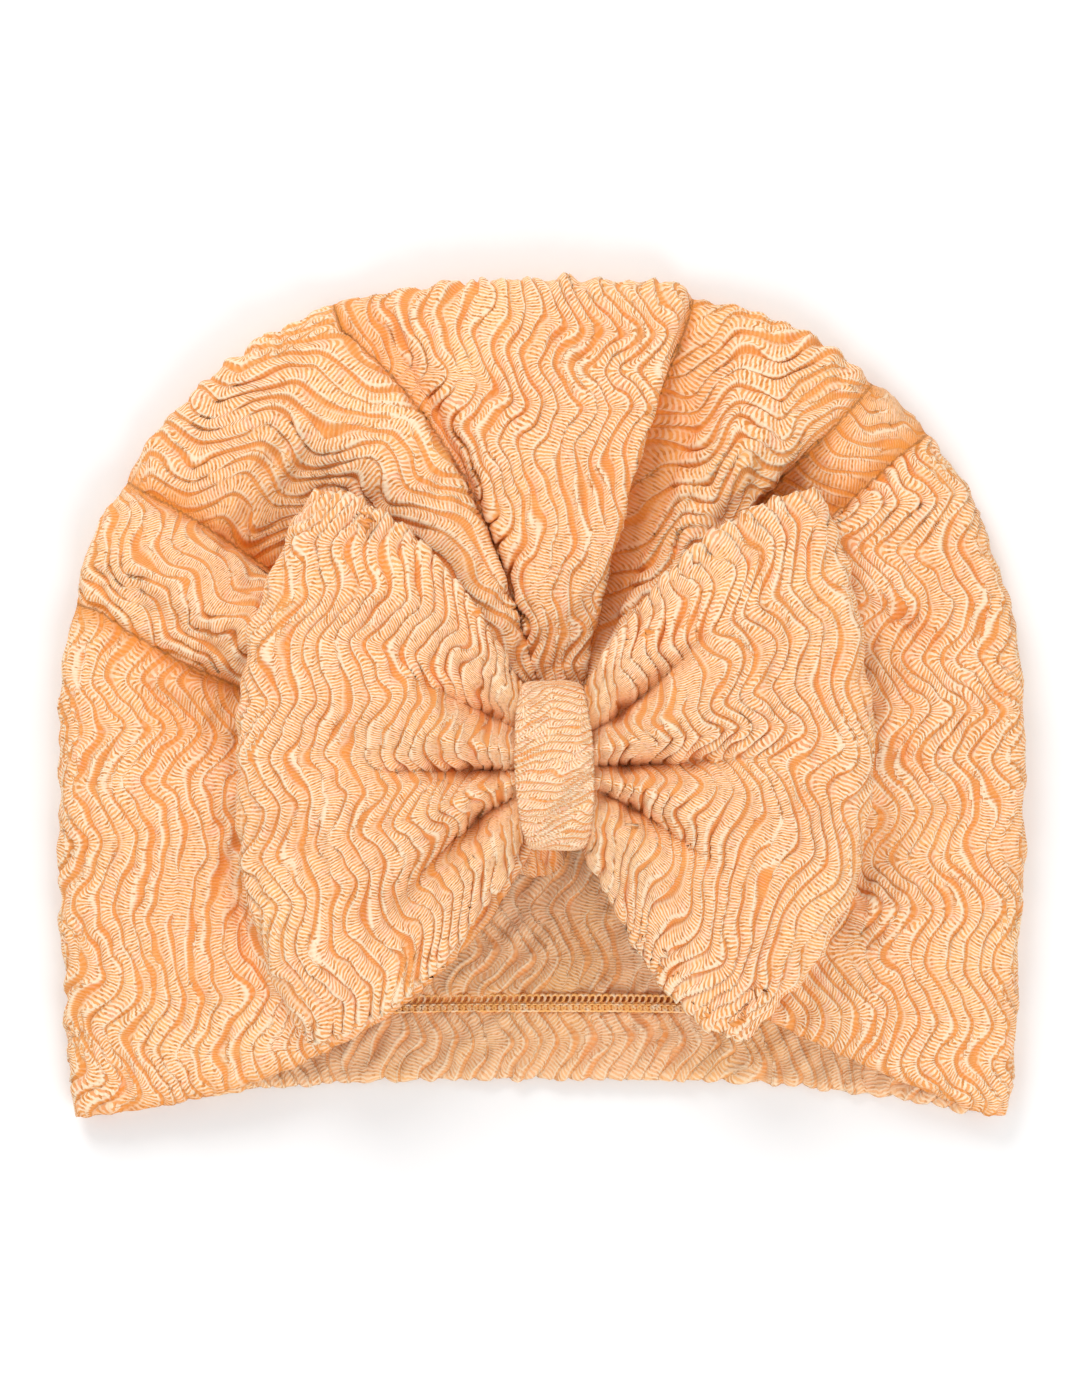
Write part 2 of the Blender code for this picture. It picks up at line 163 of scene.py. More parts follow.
# Fold lines of the front layer, from its left edge over the crown to its right edge. Each has its
# bearing at the rim, the middle and the knot, in degrees clockwise from +Y, its drops at the rim
# and the middle as shares of the fold depth, and how far its bottom is tucked sideways under the
# pleat beside it, as a share of the tuck reach: minus is under the pleat on its left.
FoldLine = namedtuple("FoldLine", "name rim_deg middle_deg knot_deg rim_drop middle_drop tuck")
FOLD_LINES = (
    FoldLine("left_front_edge", -130.0, -141.0, -165.0, 0.00, 0.10, 0.0),
    FoldLine("left_low_crest", -117.0, -126.0, -146.0, 0.00, 0.00, 0.0),
    FoldLine("left_low_dip", -106.0, -113.0, -126.0, 0.05, 0.45, 0.0),
    FoldLine("left_side_crest", -92.0, -96.0, -106.0, 0.00, 0.00, 0.0),
    FoldLine("left_side_slope", -79.0, -84.0, -90.0, 0.25, 0.70, 0.0),
    FoldLine("low_pleat_foot", -71.5, -77.5, -82.5, 0.40, 1.10, 0.4),
    FoldLine("low_pleat_lip", -68.0, -72.0, -76.0, 0.05, 0.05, 0.0),
    FoldLine("low_pleat_crest", -64.5, -66.0, -68.5, -0.25, -0.65, 0.0),
    FoldLine("low_pleat_edge", -59.5, -57.2, -58.0, 0.10, 0.05, 0.0),
    FoldLine("low_pleat_tuck", -56.0, -53.5, -54.0, 0.50, 1.30, -0.8),
    FoldLine("big_pleat_slope", -48.0, -44.0, -43.0, 0.20, 0.65, 0.0),
    FoldLine("big_pleat_crest", -36.0, -28.0, -23.0, 0.00, -0.25, 0.0),
    FoldLine("big_pleat_edge", -28.0, -19.6, -14.4, 0.05, 0.00, 0.0),
    FoldLine("big_pleat_tuck", -26.0, -18.2, -12.9, 0.45, 0.80, 0.0),
    FoldLine("left_recess_floor", -21.5, -16.5, -11.4, 0.55, 0.90, 0.0),
    FoldLine("centre_left_edge", -16.6, -13.2, -8.6, 0.05, 0.10, 0.0),
    FoldLine("centre_left_crest", -12.5, -10.5, -5.4, 0.00, 0.00, 0.0),
    FoldLine("centre_crest", -2.0, -1.0, 0.0, -0.10, -0.10, 0.0),
    FoldLine("centre_edge", 15.3, 15.0, 16.0, 0.00, -0.05, 0.0),
    FoldLine("centre_tuck", 17.6, 17.8, 20.0, 0.55, 1.20, -1.0),
    FoldLine("right_recess_floor", 22.0, 23.0, 25.0, 0.50, 1.00, 0.0),
    FoldLine("right_ridge_slope", 28.0, 27.5, 28.0, 0.15, 0.35, 0.0),
    FoldLine("right_ridge_crest", 33.0, 32.0, 32.0, 0.00, -0.15, 0.0),
    FoldLine("right_ridge_edge", 37.3, 37.2, 36.0, 0.05, 0.00, 0.0),
    FoldLine("right_ridge_tuck", 40.6, 40.2, 40.0, 0.25, 1.30, -0.8),
    FoldLine("right_low_tuck", 48.0, 47.0, 46.0, 0.40, 1.10, 0.6),
    FoldLine("right_low_edge", 52.0, 50.5, 50.0, 0.05, 0.10, 0.0),
    FoldLine("right_low_crest", 60.0, 60.0, 62.0, 0.00, -0.05, 0.0),
    FoldLine("right_side_dip", 68.0, 70.0, 77.0, 0.05, 0.50, 0.0),
    FoldLine("right_side_crest", 86.0, 88.0, 96.0, 0.00, 0.00, 0.0),
    FoldLine("right_waist_dip", 103.0, 108.0, 118.0, 0.05, 0.45, 0.2),
    FoldLine("right_front_crest", 114.0, 121.0, 138.0, 0.00, 0.00, 0.0),
    FoldLine("right_front_edge", 131.0, 138.0, 163.0, 0.00, 0.10, 0.0),
)

# How the ribs run on each pleat: as arcs round a centre, or nearly straight round a far one. A
# run goes from its first fold line to the next row's. The centre is in shares of the cap's width and
# height from its middle, radius is the usual distance from it as a share of the width, and sway is
# the size of the ribs' waves as a share of the usual one.
RibRun = namedtuple("RibRun", "first_line centre_x centre_y radius sway seed")
RIB_RUNS = (
    RibRun("left_front_edge", 30.0, 0.0, 30.0, 1.0, 11),
    RibRun("low_pleat_foot", -0.145, 0.352, 0.41, 0.8, 23),
    RibRun("low_pleat_tuck", -0.361, -0.182, 0.40, 1.0, 37),
    RibRun("big_pleat_tuck", 30.0, 0.0, 30.0, 1.0, 41),
    RibRun("centre_tuck", 0.383, -0.182, 0.40, 1.0, 53),
    RibRun("right_ridge_tuck", 0.374, 0.435, 0.18, 0.5, 67),
    RibRun("right_low_tuck", 30.0, 3.0, 30.0, 1.15, 71),
)

# Where the outline swells or dips at the ends of the pleats: bearing and width in degrees, height
# in metres.
RimBump = namedtuple("RimBump", "bearing width height")
RIM_BUMPS = (
    RimBump(-25.4, 3.5, 0.0012),
    RimBump(13.6, 3.0, 0.0014),
    RimBump(18.6, 2.4, -0.0012),
    RimBump(39.5, 2.6, -0.0010),
    RimBump(-57.0, 4.0, -0.0008),
)

# Soft creases across the panels: start and end in shares of the cap's width and height from its
# middle, width as a share of the width, depth as a share of the fold depth.
SoftCrease = namedtuple("SoftCrease", "x0 y0 x1 y1 width depth")
SOFT_CREASES = (
    SoftCrease(0.330, 0.120, 0.425, 0.050, 0.030, 0.35),
    SoftCrease(0.345, -0.040, 0.400, -0.100, 0.030, 0.30),
    SoftCrease(0.285, -0.245, 0.390, -0.300, 0.045, 0.30),
    SoftCrease(-0.330, -0.170, -0.280, -0.360, 0.030, 0.40),
    SoftCrease(-0.420, 0.020, -0.350, -0.030, 0.030, 0.25),
)

# How a soft crease runs: its fade towards its ends, the width of its valley, and the low bank that
# rises beside it
SOFT_FADE = 1.3
SOFT_VALLEY = 0.35
BANK_AT = 0.6
BANK_WIDTH = 0.5
BANK_HEIGHT = 0.6

# The bow's two loops. Each corner's inset is a share of the loop's reach, and under_fall is how far
# the underside shows below the top at the loop's lower edge, as a share of its half height.
Loop = namedtuple("Loop", "name side top_inset bottom_inset under_fall seed")
LOOPS = (
    Loop("bow_right", 1, 0.16, 0.39, 0.00, 83),
    Loop("bow_left", -1, 0.24, 0.21, 0.03, 97),
)
CORNER_POWER = 2.3
LOOP_BULGE = 0.0090
LOOP_PUFF = 0.0160
LOOP_EDGE = 0.0085
LOOP_FOLD = 0.0085
LOOP_LEAST_GAP = 0.0006
LOOP_ROUND = 0.0062
TURN_START = 1 - LOOP_ROUND / LOOP_REACH
LOOP_TURN = 0.015
LIFT_END = 0.32
EDGE_START = 0.45
UNDER_BOW_SIDE = 0.007
UNDER_BOW_END = 0.006

# The shares of a loop's grid where its top ends, and where the turn round its fold ends
TOP_END = 0.70
TURN_END = 0.84

# How a loop's ribs change on the way out of the knot: their sway, their scallops and their lift
LOOP_SWAY = 0.25
LOOP_SWAY_GROWN = 0.45
SCALLOP_GROWN = 0.10
SCALLOP_POWER = 5
# A loop's lift is low near the knot and in its creases, and there the material paints shade in
# darker orange.
LOOP_LIFT = 0.45
LOOP_LIFT_GROWN = 0.06
CREASE_LIFT_LOSS = 0.45
DEEPEST_CREASE = 1.2
UNDER_LIFT_END = 0.15

# How thin a loop's wall gets in the pinch and in its creases
WALL_LEAST = 0.2
WALL_MORE = 0.8
WALL_GROWN = 0.25
WALL_CREASE_LOSS = 0.7
WALL_STEPS = 10

# Creases that run out of the knot across each loop. Places go from -1, the lower edge, to 1, the
# upper edge. Reach is a share of the loop's, depth a share of the crease depth.
Crease = namedtuple("Crease", "loop knot_place far_place reach depth width")
CREASES = (
    Crease("bow_left", 0.46, 0.54, 0.68, 1.10, 0.36),
    Crease("bow_left", -0.05, 0.02, 0.78, 1.15, 0.30),
    Crease("bow_left", -0.36, -0.95, 0.72, 1.20, 0.30),
    Crease("bow_right", 0.42, 0.95, 0.68, 1.15, 0.32),
    Crease("bow_right", -0.01, 0.10, 0.84, 1.20, 0.28),
    Crease("bow_right", -0.28, -0.72, 0.66, 1.20, 0.26),
)
CREASE_LEAST = 0.35
CREASE_GROWN = 0.16

# The bow's pinch inside the band, and how its ribs gather there
PINCH_OVERLAP = 0.0015
PINCH_INSET = 0.0012
PINCH_END_GAP = 0.0010
KNOT_GATHER = 0.011
SEAT_GAP = 0.0003

# The band: its rounded oblong, its waist at the ends, its rounded sides and its fine ribs
BAND_POWER = 3.3
BAND_STEPS = 1441
BAND_WAIST = 0.23
WAIST_POWER = 2.5
BAND_LEAN = 0.0005
BAND_INSET = 0.0003
BAND_ROUNDING = 0.0009
ROUNDING_POWER = 6
BAND_STRETCH = 2.20
BAND_WAVES = 1.5
BAND_SLANT = 0.25
BAND_LIFT = 0.22

# The bunch of cloth under the band, its middle measured from the knot
TUFT_X = -0.0038
TUFT_Y = -0.0162
TUFT_WIDTH = 0.0110
TUFT_HEIGHT = 0.0104
TUFT_LOW = 0.0072
TUFT_TILT = 0.0057
TUFT_RISE = 0.0052
TUFT_GATHER = 0.0007
TUFT_GATHERS = 3
TUFT_FLARE = 0.22
TUFT_FINENESS = 40
TUFT_CRUMPLE = 0.16
CRUMPLE_SIZE = 0.0042
TUFT_SLANT = 0.3
TUFT_SWAY = 0.8
# The tuft's low lift makes the material paint some fold shade on it.
TUFT_LIFT = 0.7

# How far the ribs scallop the bow's edges and the cap's folds, and how low a cloth may lie
SCALLOP = 0.0014
FOLD_SCALLOP = 0.0009
FLOOR_CLEARANCE = 0.00005

# Waves of the ribs: how they change, and over what distances
WAVE_SHARPNESS = 0.88
WAVE_SLANT = 0.22
WAVE_WANDER = 0.0028
WANDER_SIZE = 0.06
REACH_CHANGE = 0.22
REACH_SIZE = 0.035
PITCH_WANDER = 0.75
PITCH_SIZE = 0.024
RIB_TREMBLE = 0.58
TREMBLE_SIZE = 0.0075
FORK_STRENGTH = 0.43
FORK_SIZE = 0.009
NOISE_WAVES = 9

# A rib's profile, in shares of its pitch: its flat rises to a lip and drops into a groove
FLAT_AT = 0.16
FLAT_RISE = 0.70
LIP_AT = 0.75
LIP_RISE = 0.30
LIP_POWER = 1.5
FOOT_AT = 0.97

# How uneven the ribs' height is, and the small puckers of the knit
USUAL_HEIGHT = 0.88
HEIGHT_CHANGE = 0.16
HEIGHT_SIZE = 0.016
PUCKER = 0.00028
PUCKER_SIZE = 0.0048

# Seeds of the single noises
BACK_RIB_SEED = 131
BAND_RIB_SEED = 163
TUFT_RIB_SEED = 223
CRUMPLE_SEED = 211
HEIGHT_SEED = 19
PUCKER_SEED = 17

# Fineness of the grids, and the most triangles of a piece
FRONT_COLUMNS = 360
FRONT_ROWS = 270
FOLD_ROWS = 16
BACK_COLUMNS = 290
BACK_ROWS = 140
LOOP_COLUMNS = 165
LOOP_ROWS = 190
BAND_COLUMNS = 36
BAND_RING = 230
MOST_TRIANGLES = 196000
WELD_DISTANCE = 0.00002

# The knit's material: greys across one rib, from (place, value) stops, for the painted highlight on
# its lip and on the thin cord behind it, the painted shade in its groove, and the body between,
# paler on top and with painted shade towards the groove
LIP_STOPS = ((0.0, 0.0), (0.63, 0.0), (0.69, 1.0), (0.76, 1.0), (0.81, 0.0), (1.0, 0.0))
CORD_STOPS = ((0.0, 0.0), (0.03, 0.0), (0.08, 1.0), (0.14, 0.0), (1.0, 0.0))
GROOVE_STOPS = ((0.0, 0.4), (0.02, 0.1), (0.05, 0.0), (0.81, 0.0), (0.87, 1.0), (0.94, 1.0))
BODY_STOPS = ((0.0, 0.3), (0.10, 0.7), (0.30, 0.95), (0.60, 1.0), (0.78, 1.0), (0.86, 0.15))
# Painted shade in the folds: the orange darkened by these shares, painted where the lift falls below
# the flat lift.
FOLD_SHADE_SHARES = (1.0, 0.95, 0.60)
HOLE_SHADE = 0.80
STITCH_WOBBLE = 4.4
FLAT_LIFT = 0.90

# Scales of the materials' noises, and heights of their bumps
JITTER_SCALE = 1000.0
GRAIN_SCALE = 2400.0
PATCH_SCALE = 42.0
FLECK_SCALE = 330.0
HOLE_SCALE = 1100.0
THREAD_SCALE = 900.0
STITCH_RELIEF = 0.00040
THREAD_RELIEF = 0.0001

# The stage. The field is what the camera sees of the floor from top to bottom.
FLOOR_SIZE = 6.0
ROOM_LIGHT = 0.69
WINDOW_PLACE = (-0.30, 0.68, 0.62)
WINDOW_SIZE = 0.50
WINDOW_POWER = 4.1
FILL_PLACE = (0.30, -0.70, 0.70)
FILL_SIZE = 0.60
FILL_POWER = 3.9
SENSOR_HEIGHT = 36.0
CAMERA_HEIGHT = 0.9
CAMERA_AIM = (-0.0003, 0.0004)
FIELD_HEIGHT = 0.2655


class TurbanCapSizes(bpy.types.PropertyGroup):
    """Sizes of the cloth, its ribs and its folds."""

    cloth: FloatProperty(
        name="Cloth", description="Thickness of the knit", default=0.0017, unit="LENGTH"
    )
    rib_pitch: FloatProperty(
        name="Rib pitch", description="From one rib's lip to the next", default=0.0033, unit="LENGTH"
    )
    rib_height: FloatProperty(
        name="Rib height", description="From groove to lip", default=0.00096, unit="LENGTH"
    )
    wave_length: FloatProperty(
        name="Wave length", description="Length of the ribs' waves", default=0.0205, unit="LENGTH"
    )
    wave_reach: FloatProperty(
        name="Wave reach", description="How far a wave sways aside", default=0.0024, unit="LENGTH"
    )
    stitch: FloatProperty(
        name="Stitch", description="Width of one stitch", default=0.00058, unit="LENGTH"
    )
    stitch_length: FloatProperty(
        name="Seam stitch", description="Length of a hem stitch", default=0.0012, unit="LENGTH"
    )
    thread: FloatProperty(
        name="Thread", description="Thickness of the hem's thread", default=0.00088, unit="LENGTH"
    )
    fold_depth: FloatProperty(
        name="Fold depth", description="Depth of the cap's pleats", default=0.0066, unit="LENGTH"
    )
    tuck_reach: FloatProperty(
        name="Tuck reach", description="How far a fold is tucked in", default=0.0030, unit="LENGTH"
    )
    crease_depth: FloatProperty(
        name="Crease depth", description="Depth of the bow's creases", default=0.0090, unit="LENGTH"
    )


class TurbanCapColours(bpy.types.PropertyGroup):
    """Colours of the melange yarn."""

    peach: FloatVectorProperty(
        name="Peach", description="Main yarn", subtype="COLOR", size=3, default=(0.88, 0.375, 0.115)
    )
    # Cream is also the colour of the painted highlights on the lips, the stitches and the thread's
    # glints.
    cream: FloatVectorProperty(
        name="Cream", description="Lips", subtype="COLOR", size=3, default=(1.00, 0.79, 0.555)
    )
    # Orange is the colour of the painted shade in the grooves, the folds and the holes.
    orange: FloatVectorProperty(
        name="Orange", description="Grooves", subtype="COLOR", size=3, default=(0.86, 0.30, 0.065)
    )
    rose: FloatVectorProperty(
        name="Rose", description="Flecks", subtype="COLOR", size=3, default=(0.92, 0.42, 0.27)
    )
    straw: FloatVectorProperty(
        name="Straw", description="Patches", subtype="COLOR", size=3, default=(0.95, 0.50, 0.18)
    )
    thread: FloatVectorProperty(
        name="Thread", description="Hem seam", subtype="COLOR", size=3, default=(1.00, 0.52, 0.16)
    )


def ease(share):
    """A smooth step from 0 to 1."""
    share = np.clip(share, 0.0, 1.0)
    return share * share * (3.0 - 2.0 * share)


def grow(least, share):
    """A smooth growth from a least value to 1."""
    return least + (1 - least) * ease(share)


def signed_power(value, power):
    """A power of a value's size, with the value's sign."""
    return np.sign(value) * np.abs(value) ** power


def turn_down(edge, turn):
    """How far a cloth turns down at a distance from its edge."""
    return turn.depth * (1 - np.clip(edge / turn.width, 0.0, 1.0)) ** 2


def smooth_noise(p, q, size, seed):
    """Even noise of about unit spread: a sum of waves of about one size in seeded directions."""
    rng = np.random.default_rng(seed)
    total = np.zeros(np.broadcast(p, q).shape)
    for _ in range(NOISE_WAVES):
        turn, start = rng.uniform(0.0, 2 * math.pi, 2)
        length = size * rng.uniform(0.7, 1.6)
        total += np.sin(2 * math.pi * (p * math.cos(turn) + q * math.sin(turn)) / length + start)
    return total * math.sqrt(2 / NOISE_WAVES)


# Ribs


def rib_pattern(p, q, sizes, sway, seed):
    """The ribs' phase, as its cosine and sine, and their slope, on cloth coordinates p and q."""
    wander = WAVE_WANDER * smooth_noise(p, q, WANDER_SIZE, seed)
    angle = 2 * math.pi * (p + wander + WAVE_SLANT * q) / sizes.wave_length
    full = math.asin(WAVE_SHARPNESS)
    bent = WAVE_SHARPNESS * np.sin(angle)
    steep = WAVE_SHARPNESS * np.cos(angle) / np.sqrt(1 - bent**2)
    reach = sizes.wave_reach * sway * (1.0 + REACH_CHANGE * smooth_noise(p, q, REACH_SIZE, seed + 1))
    slope = reach * steep / full * 2 * math.pi / sizes.wave_length
    phase = 2 * math.pi * (q + reach * (np.arcsin(bent) / full)) / sizes.rib_pitch
    phase = phase + PITCH_WANDER * smooth_noise(p, q, PITCH_SIZE, seed + 4)
    phase = phase + RIB_TREMBLE * smooth_noise(p, q, TREMBLE_SIZE, seed + 5)
    cosine = np.cos(phase) + FORK_STRENGTH * smooth_noise(p / 2, q, FORK_SIZE, seed + 2)
    sine = np.sin(phase) + FORK_STRENGTH * smooth_noise(p / 2, q, FORK_SIZE, seed + 3)
    size = np.maximum(np.hypot(cosine, sine), 1e-6)
    return cosine / size, sine / size, slope


def rib_relief(cosine, sine):
    """Height of a rib from 0 in its groove to 1 on its lip."""
    turn = np.arctan2(sine, cosine) / (2 * math.pi) + 0.5
    flat = FLAT_RISE * ease(turn / FLAT_AT)
    rise = flat + LIP_RISE * np.clip(turn / LIP_AT, 0.0, 1.0) ** LIP_POWER
    return rise * (1 - ease((turn - LIP_AT) / (FOOT_AT - LIP_AT)))


def store_ribs(piece, p, q, pattern, lift):
    """Stores the cloth coordinates, the ribs' phase and slope, and the relief on a piece."""
    cosine, sine, slope = pattern
    store_vectors(piece, "rib", cosine, sine, slope)
    store_vectors(piece, "cloth", p, q, lift)


def store_vectors(piece, name, first, second, third):
    """Stores three values at each vertex under one name."""
    values = np.stack(np.broadcast_arrays(first, second, third), axis=1).astype(np.float32)
    attribute = piece.data.attributes.new(name, "FLOAT_VECTOR", "POINT")
    attribute.data.foreach_set("vector", values.ravel())


def read_vectors(piece, name):
    """The three values that each vertex stores under a name."""
    values = np.empty(len(piece.data.vertices) * 3, np.float32)
    piece.data.attributes[name].data.foreach_get("vector", values)
    return values.reshape(-1, 3).astype(np.float64)


# Meshes


def new_grid(name, columns, rows):
    """A flat grid from (0, 0) to (1, 1), and its vertices' two coordinates."""
    if bpy.context.mode != "OBJECT":
        bpy.ops.object.mode_set(mode="OBJECT")
    bpy.ops.object.select_all(action="DESELECT")
    bpy.ops.mesh.primitive_grid_add(
        x_subdivisions=columns, y_subdivisions=rows, size=1.0, location=(0.5, 0.5, 0.0)
    )
    grid = bpy.context.active_object
    bpy.ops.object.transform_apply(location=True, rotation=True, scale=True)
    grid.name = name
    grid.data.name = name
    points = vertices_of(grid)
    return grid, np.clip(points[:, 0], 0.0, 1.0), np.clip(points[:, 1], 0.0, 1.0)


def vertices_of(piece):
    """Places of a piece's vertices."""
    points = np.empty(len(piece.data.vertices) * 3, np.float32)
    piece.data.vertices.foreach_get("co", points)
    return points.reshape(-1, 3).astype(np.float64)


def place_vertices(piece, x, y, z):
    """Moves a piece's vertices to their places."""
    points = np.stack(np.broadcast_arrays(x, y, z), axis=1).astype(np.float32)
    piece.data.vertices.foreach_set("co", points.ravel())
    piece.data.update()


def only_select(*pieces):
    """Selects some pieces alone, the first one active."""
    bpy.ops.object.select_all(action="DESELECT")
    for piece in pieces:
        piece.select_set(True)
    bpy.context.view_layer.objects.active = pieces[0]


def join_grids(first, *others):
    """Joins grids whose edges meet into one cloth."""
    only_select(first, *others)
    bpy.ops.object.join()
    bpy.ops.object.mode_set(mode="EDIT")
    bpy.ops.mesh.select_all(action="SELECT")
    bpy.ops.mesh.remove_doubles(threshold=WELD_DISTANCE)
    bpy.ops.object.mode_set(mode="OBJECT")


def raise_ribs(piece, sizes, share=1.0):
    """Moves each vertex out along its normal by the height of the rib there."""
    cosine, sine, _ = read_vectors(piece, "rib").T
    lift = read_vectors(piece, "cloth")[:, 2] * share
    normals = np.empty(len(piece.data.vertices) * 3, np.float32)
    piece.data.vertices.foreach_get("normal", normals)
    points = vertices_of(piece)
    x, y = points[:, 0], points[:, 1]
    uneven = USUAL_HEIGHT + HEIGHT_CHANGE * smooth_noise(x, y, HEIGHT_SIZE, HEIGHT_SEED)
    height = sizes.rib_height * lift * uneven * rib_relief(cosine, sine)
    height += PUCKER * smooth_noise(x, y, PUCKER_SIZE, PUCKER_SEED) * lift
    points = points + normals.reshape(-1, 3) * height[:, None]
    place_vertices(piece, *points.T)


def give_wall(piece, thickness, shares=None):
    """Gives a cloth its thickness, inwards from the face that was modelled."""
    only_select(piece)
    wall = piece.modifiers.new("wall", "SOLIDIFY")
    wall.thickness = thickness
    wall.offset = -1.0
    if shares is not None:
        group = piece.vertex_groups.new(name="wall_share")
        steps = np.rint(np.clip(shares, 0.0, 1.0) * WALL_STEPS).astype(int)
        for step in range(WALL_STEPS + 1):
            here = [int(index) for index in np.flatnonzero(steps == step)]
            group.add(here, step / WALL_STEPS, "REPLACE")
        wall.vertex_group = group.name
    bpy.ops.object.modifier_apply(modifier=wall.name)


def thin_hidden(piece, hidden):
    """Thins the mesh where nothing is seen of it, to keep the piece under its triangles."""
    triangles = 2 * len(piece.data.polygons)
    if triangles <= MOST_TRIANGLES:
        return
    only_select(piece)
    group = piece.vertex_groups.new(name="hidden")
    group.add([int(index) for index in np.flatnonzero(hidden)], 1.0, "REPLACE")
    thin = piece.modifiers.new("thin", "DECIMATE")
    thin.ratio = MOST_TRIANGLES / triangles
    thin.vertex_group = group.name
    bpy.ops.object.modifier_apply(modifier=thin.name)


def keep_above_floor(piece):
    """Flattens the underside where it would pass through the floor."""
    x, y, z = vertices_of(piece).T
    place_vertices(piece, x, y, np.maximum(z, FLOOR_CLEARANCE))


def finish_piece(piece, material, node):
    """Gives a piece its material, keeps it above the floor, parents it to the root body and hides
    its node's part.
    """
    keep_above_floor(piece)
    piece.data.materials.clear()
    piece.data.materials.append(material)
    piece.data.shade_smooth()
    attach(piece, "root")
    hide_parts(node)


# The cap's outline and its rounded top


def dome_centre_y():
    """Where the crown's round begins above the straight sides."""
    return CAP_HEIGHT / 2 - CROWN_HEIGHT


def outline_points():
    """The cap's outline from its left corner, over the crown, to its right corner."""
    half, low, middle = CAP_WIDTH / 2, -CAP_HEIGHT / 2, dome_centre_y()
    climb = np.linspace(0.0, 1.0, SIDE_STEPS, endpoint=False)
    left = np.stack([-half + SIDE_TAPER * (1 - climb) ** 2, low + climb * (middle - low)], axis=1)
    turn = np.linspace(math.pi, 0.0, CROWN_STEPS + 1)
    power = 2 / CROWN_POWER
    crown_x = half * signed_power(np.cos(turn), power)
    crown_y = middle + CROWN_HEIGHT * np.clip(np.sin(turn), 0.0, None) ** power
    crown = np.stack([crown_x, crown_y], axis=1)
    return np.concatenate([left, crown, left[::-1] * [-1, 1]])


def inset_outline(reach):
    """The outline moved inwards, and the ways out of it."""
    outline = outline_points()
    run = np.gradient(outline, axis=0)
    way_out = np.stack([-run[:, 1], run[:, 0]], axis=1) / np.linalg.norm(run, axis=1)[:, None]
    return outline - reach * way_out, way_out


def cap_top(x, y):
    """Height of the rounded top that the pleats' crests reach."""
    middle = dome_centre_y()
    above = np.maximum(y - middle, 0.0) / CROWN_HEIGHT
    out = ((np.abs(x) / (CAP_WIDTH / 2)) ** CROWN_POWER + above**CROWN_POWER) ** (1 / CROWN_POWER)
    rounding = 1 - (1 - RIM_SHARE) * np.minimum(out, 1.0) ** RIM_POWER
    below = np.maximum(middle - y, 0.0) / (middle + CAP_HEIGHT / 2)
    closing = 1 - (1 - MOUTH_SHARE) * np.minimum(below, 1.0) ** MOUTH_POWER
    return CAP_TOP * rounding * closing


def curve_at(points, share):
    """Points at a share of a curve's length."""
    steps = np.linalg.norm(np.diff(points, axis=0), axis=1)
    length = np.concatenate([[0.0], np.cumsum(steps)])
    return np.stack(
        [np.interp(share, length / length[-1], points[:, axis]) for axis in range(2)], axis=-1
    )


def fill_between(u, v, bottom, top, left, right):
    """Plan of a sheet that is stretched between four curves."""
    u, v = u[:, None], v[:, None]
    low, high = curve_at(bottom, u[:, 0]), curve_at(top, u[:, 0])
    near, far = curve_at(left, v[:, 0]), curve_at(right, v[:, 0])
    corners = (1 - u) * (1 - v) * bottom[0] + u * (1 - v) * bottom[-1]
    corners = corners + (1 - u) * v * top[0] + u * v * top[-1]
    return (1 - v) * low + v * high + (1 - u) * near + u * far - corners


def rim_parts(rim):
    """The rim's left side, its crown and its right side, which start and end at the shoulders."""
    high = np.flatnonzero(rim[:, 1] > SHOULDER_AT * CAP_HEIGHT)
    first, last = high[0], high[-1]
    return rim[: first + 1], rim[first : last + 1], rim[last:][::-1]


def fold_column(name):
    """One column of the table of fold lines."""
    return np.array([getattr(line, name) for line in FOLD_LINES])


# The cap's front layer


def bend_line(share, at_knot, at_middle, at_rim):
    """A bearing along a fold line: one even bend through its three places."""
    to_middle = (at_middle - at_knot) / MIDDLE_AT
    bend = (at_rim - at_knot - to_middle) / (1 - MIDDLE_AT)
    return at_knot + to_middle * share + bend * share * (share - MIDDLE_AT)


def rim_polar():
    """Bearings and distances from the knot of the inner side of the side fold."""
    rim, _ = inset_outline(SIDE_FOLD_REACH)
    from_knot = rim - [KNOT_X, KNOT_Y]
    bearings = np.degrees(np.unwrap(np.arctan2(from_knot[:, 0], from_knot[:, 1])))
    return bearings, np.linalg.norm(from_knot, axis=1)


def fold_places(x, y, aside=0.0):
    """Where each point lies among the fold lines: its share of the way out and its bearing, the
    number of the fold line before it and its share of the way to the next. The fold lines are
    moved aside by a distance, so that they follow the ribs."""
    bearings, distances = rim_polar()
    bearing = np.degrees(np.arctan2(x - KNOT_X, y - KNOT_Y))
    reach = np.interp(bearing, bearings, distances)
    away = np.hypot(x - KNOT_X, y - KNOT_Y)
    bearing = bearing + np.degrees(aside / np.maximum(away, GATHER_RADIUS))
    out = np.clip((away - GATHER_RADIUS) / (reach - GATHER_RADIUS), 0.0, 1.0)
    lines = []
    for line in FOLD_LINES:
        rim_deg = np.clip(line.rim_deg, bearings[0], bearings[-1])
        lines.append(bend_line(out, line.knot_deg, line.middle_deg, rim_deg))
    lines = np.array(lines)
    before = np.clip((lines <= bearing).sum(axis=0) - 1, 0, len(FOLD_LINES) - 2)
    start = np.take_along_axis(lines, before[None], axis=0)[0]
    end = np.take_along_axis(lines, before[None] + 1, axis=0)[0]
    share = np.clip((bearing - start) / np.maximum(end - start, 1e-6), 0.0, 1.0)
    return out, bearing, before, share


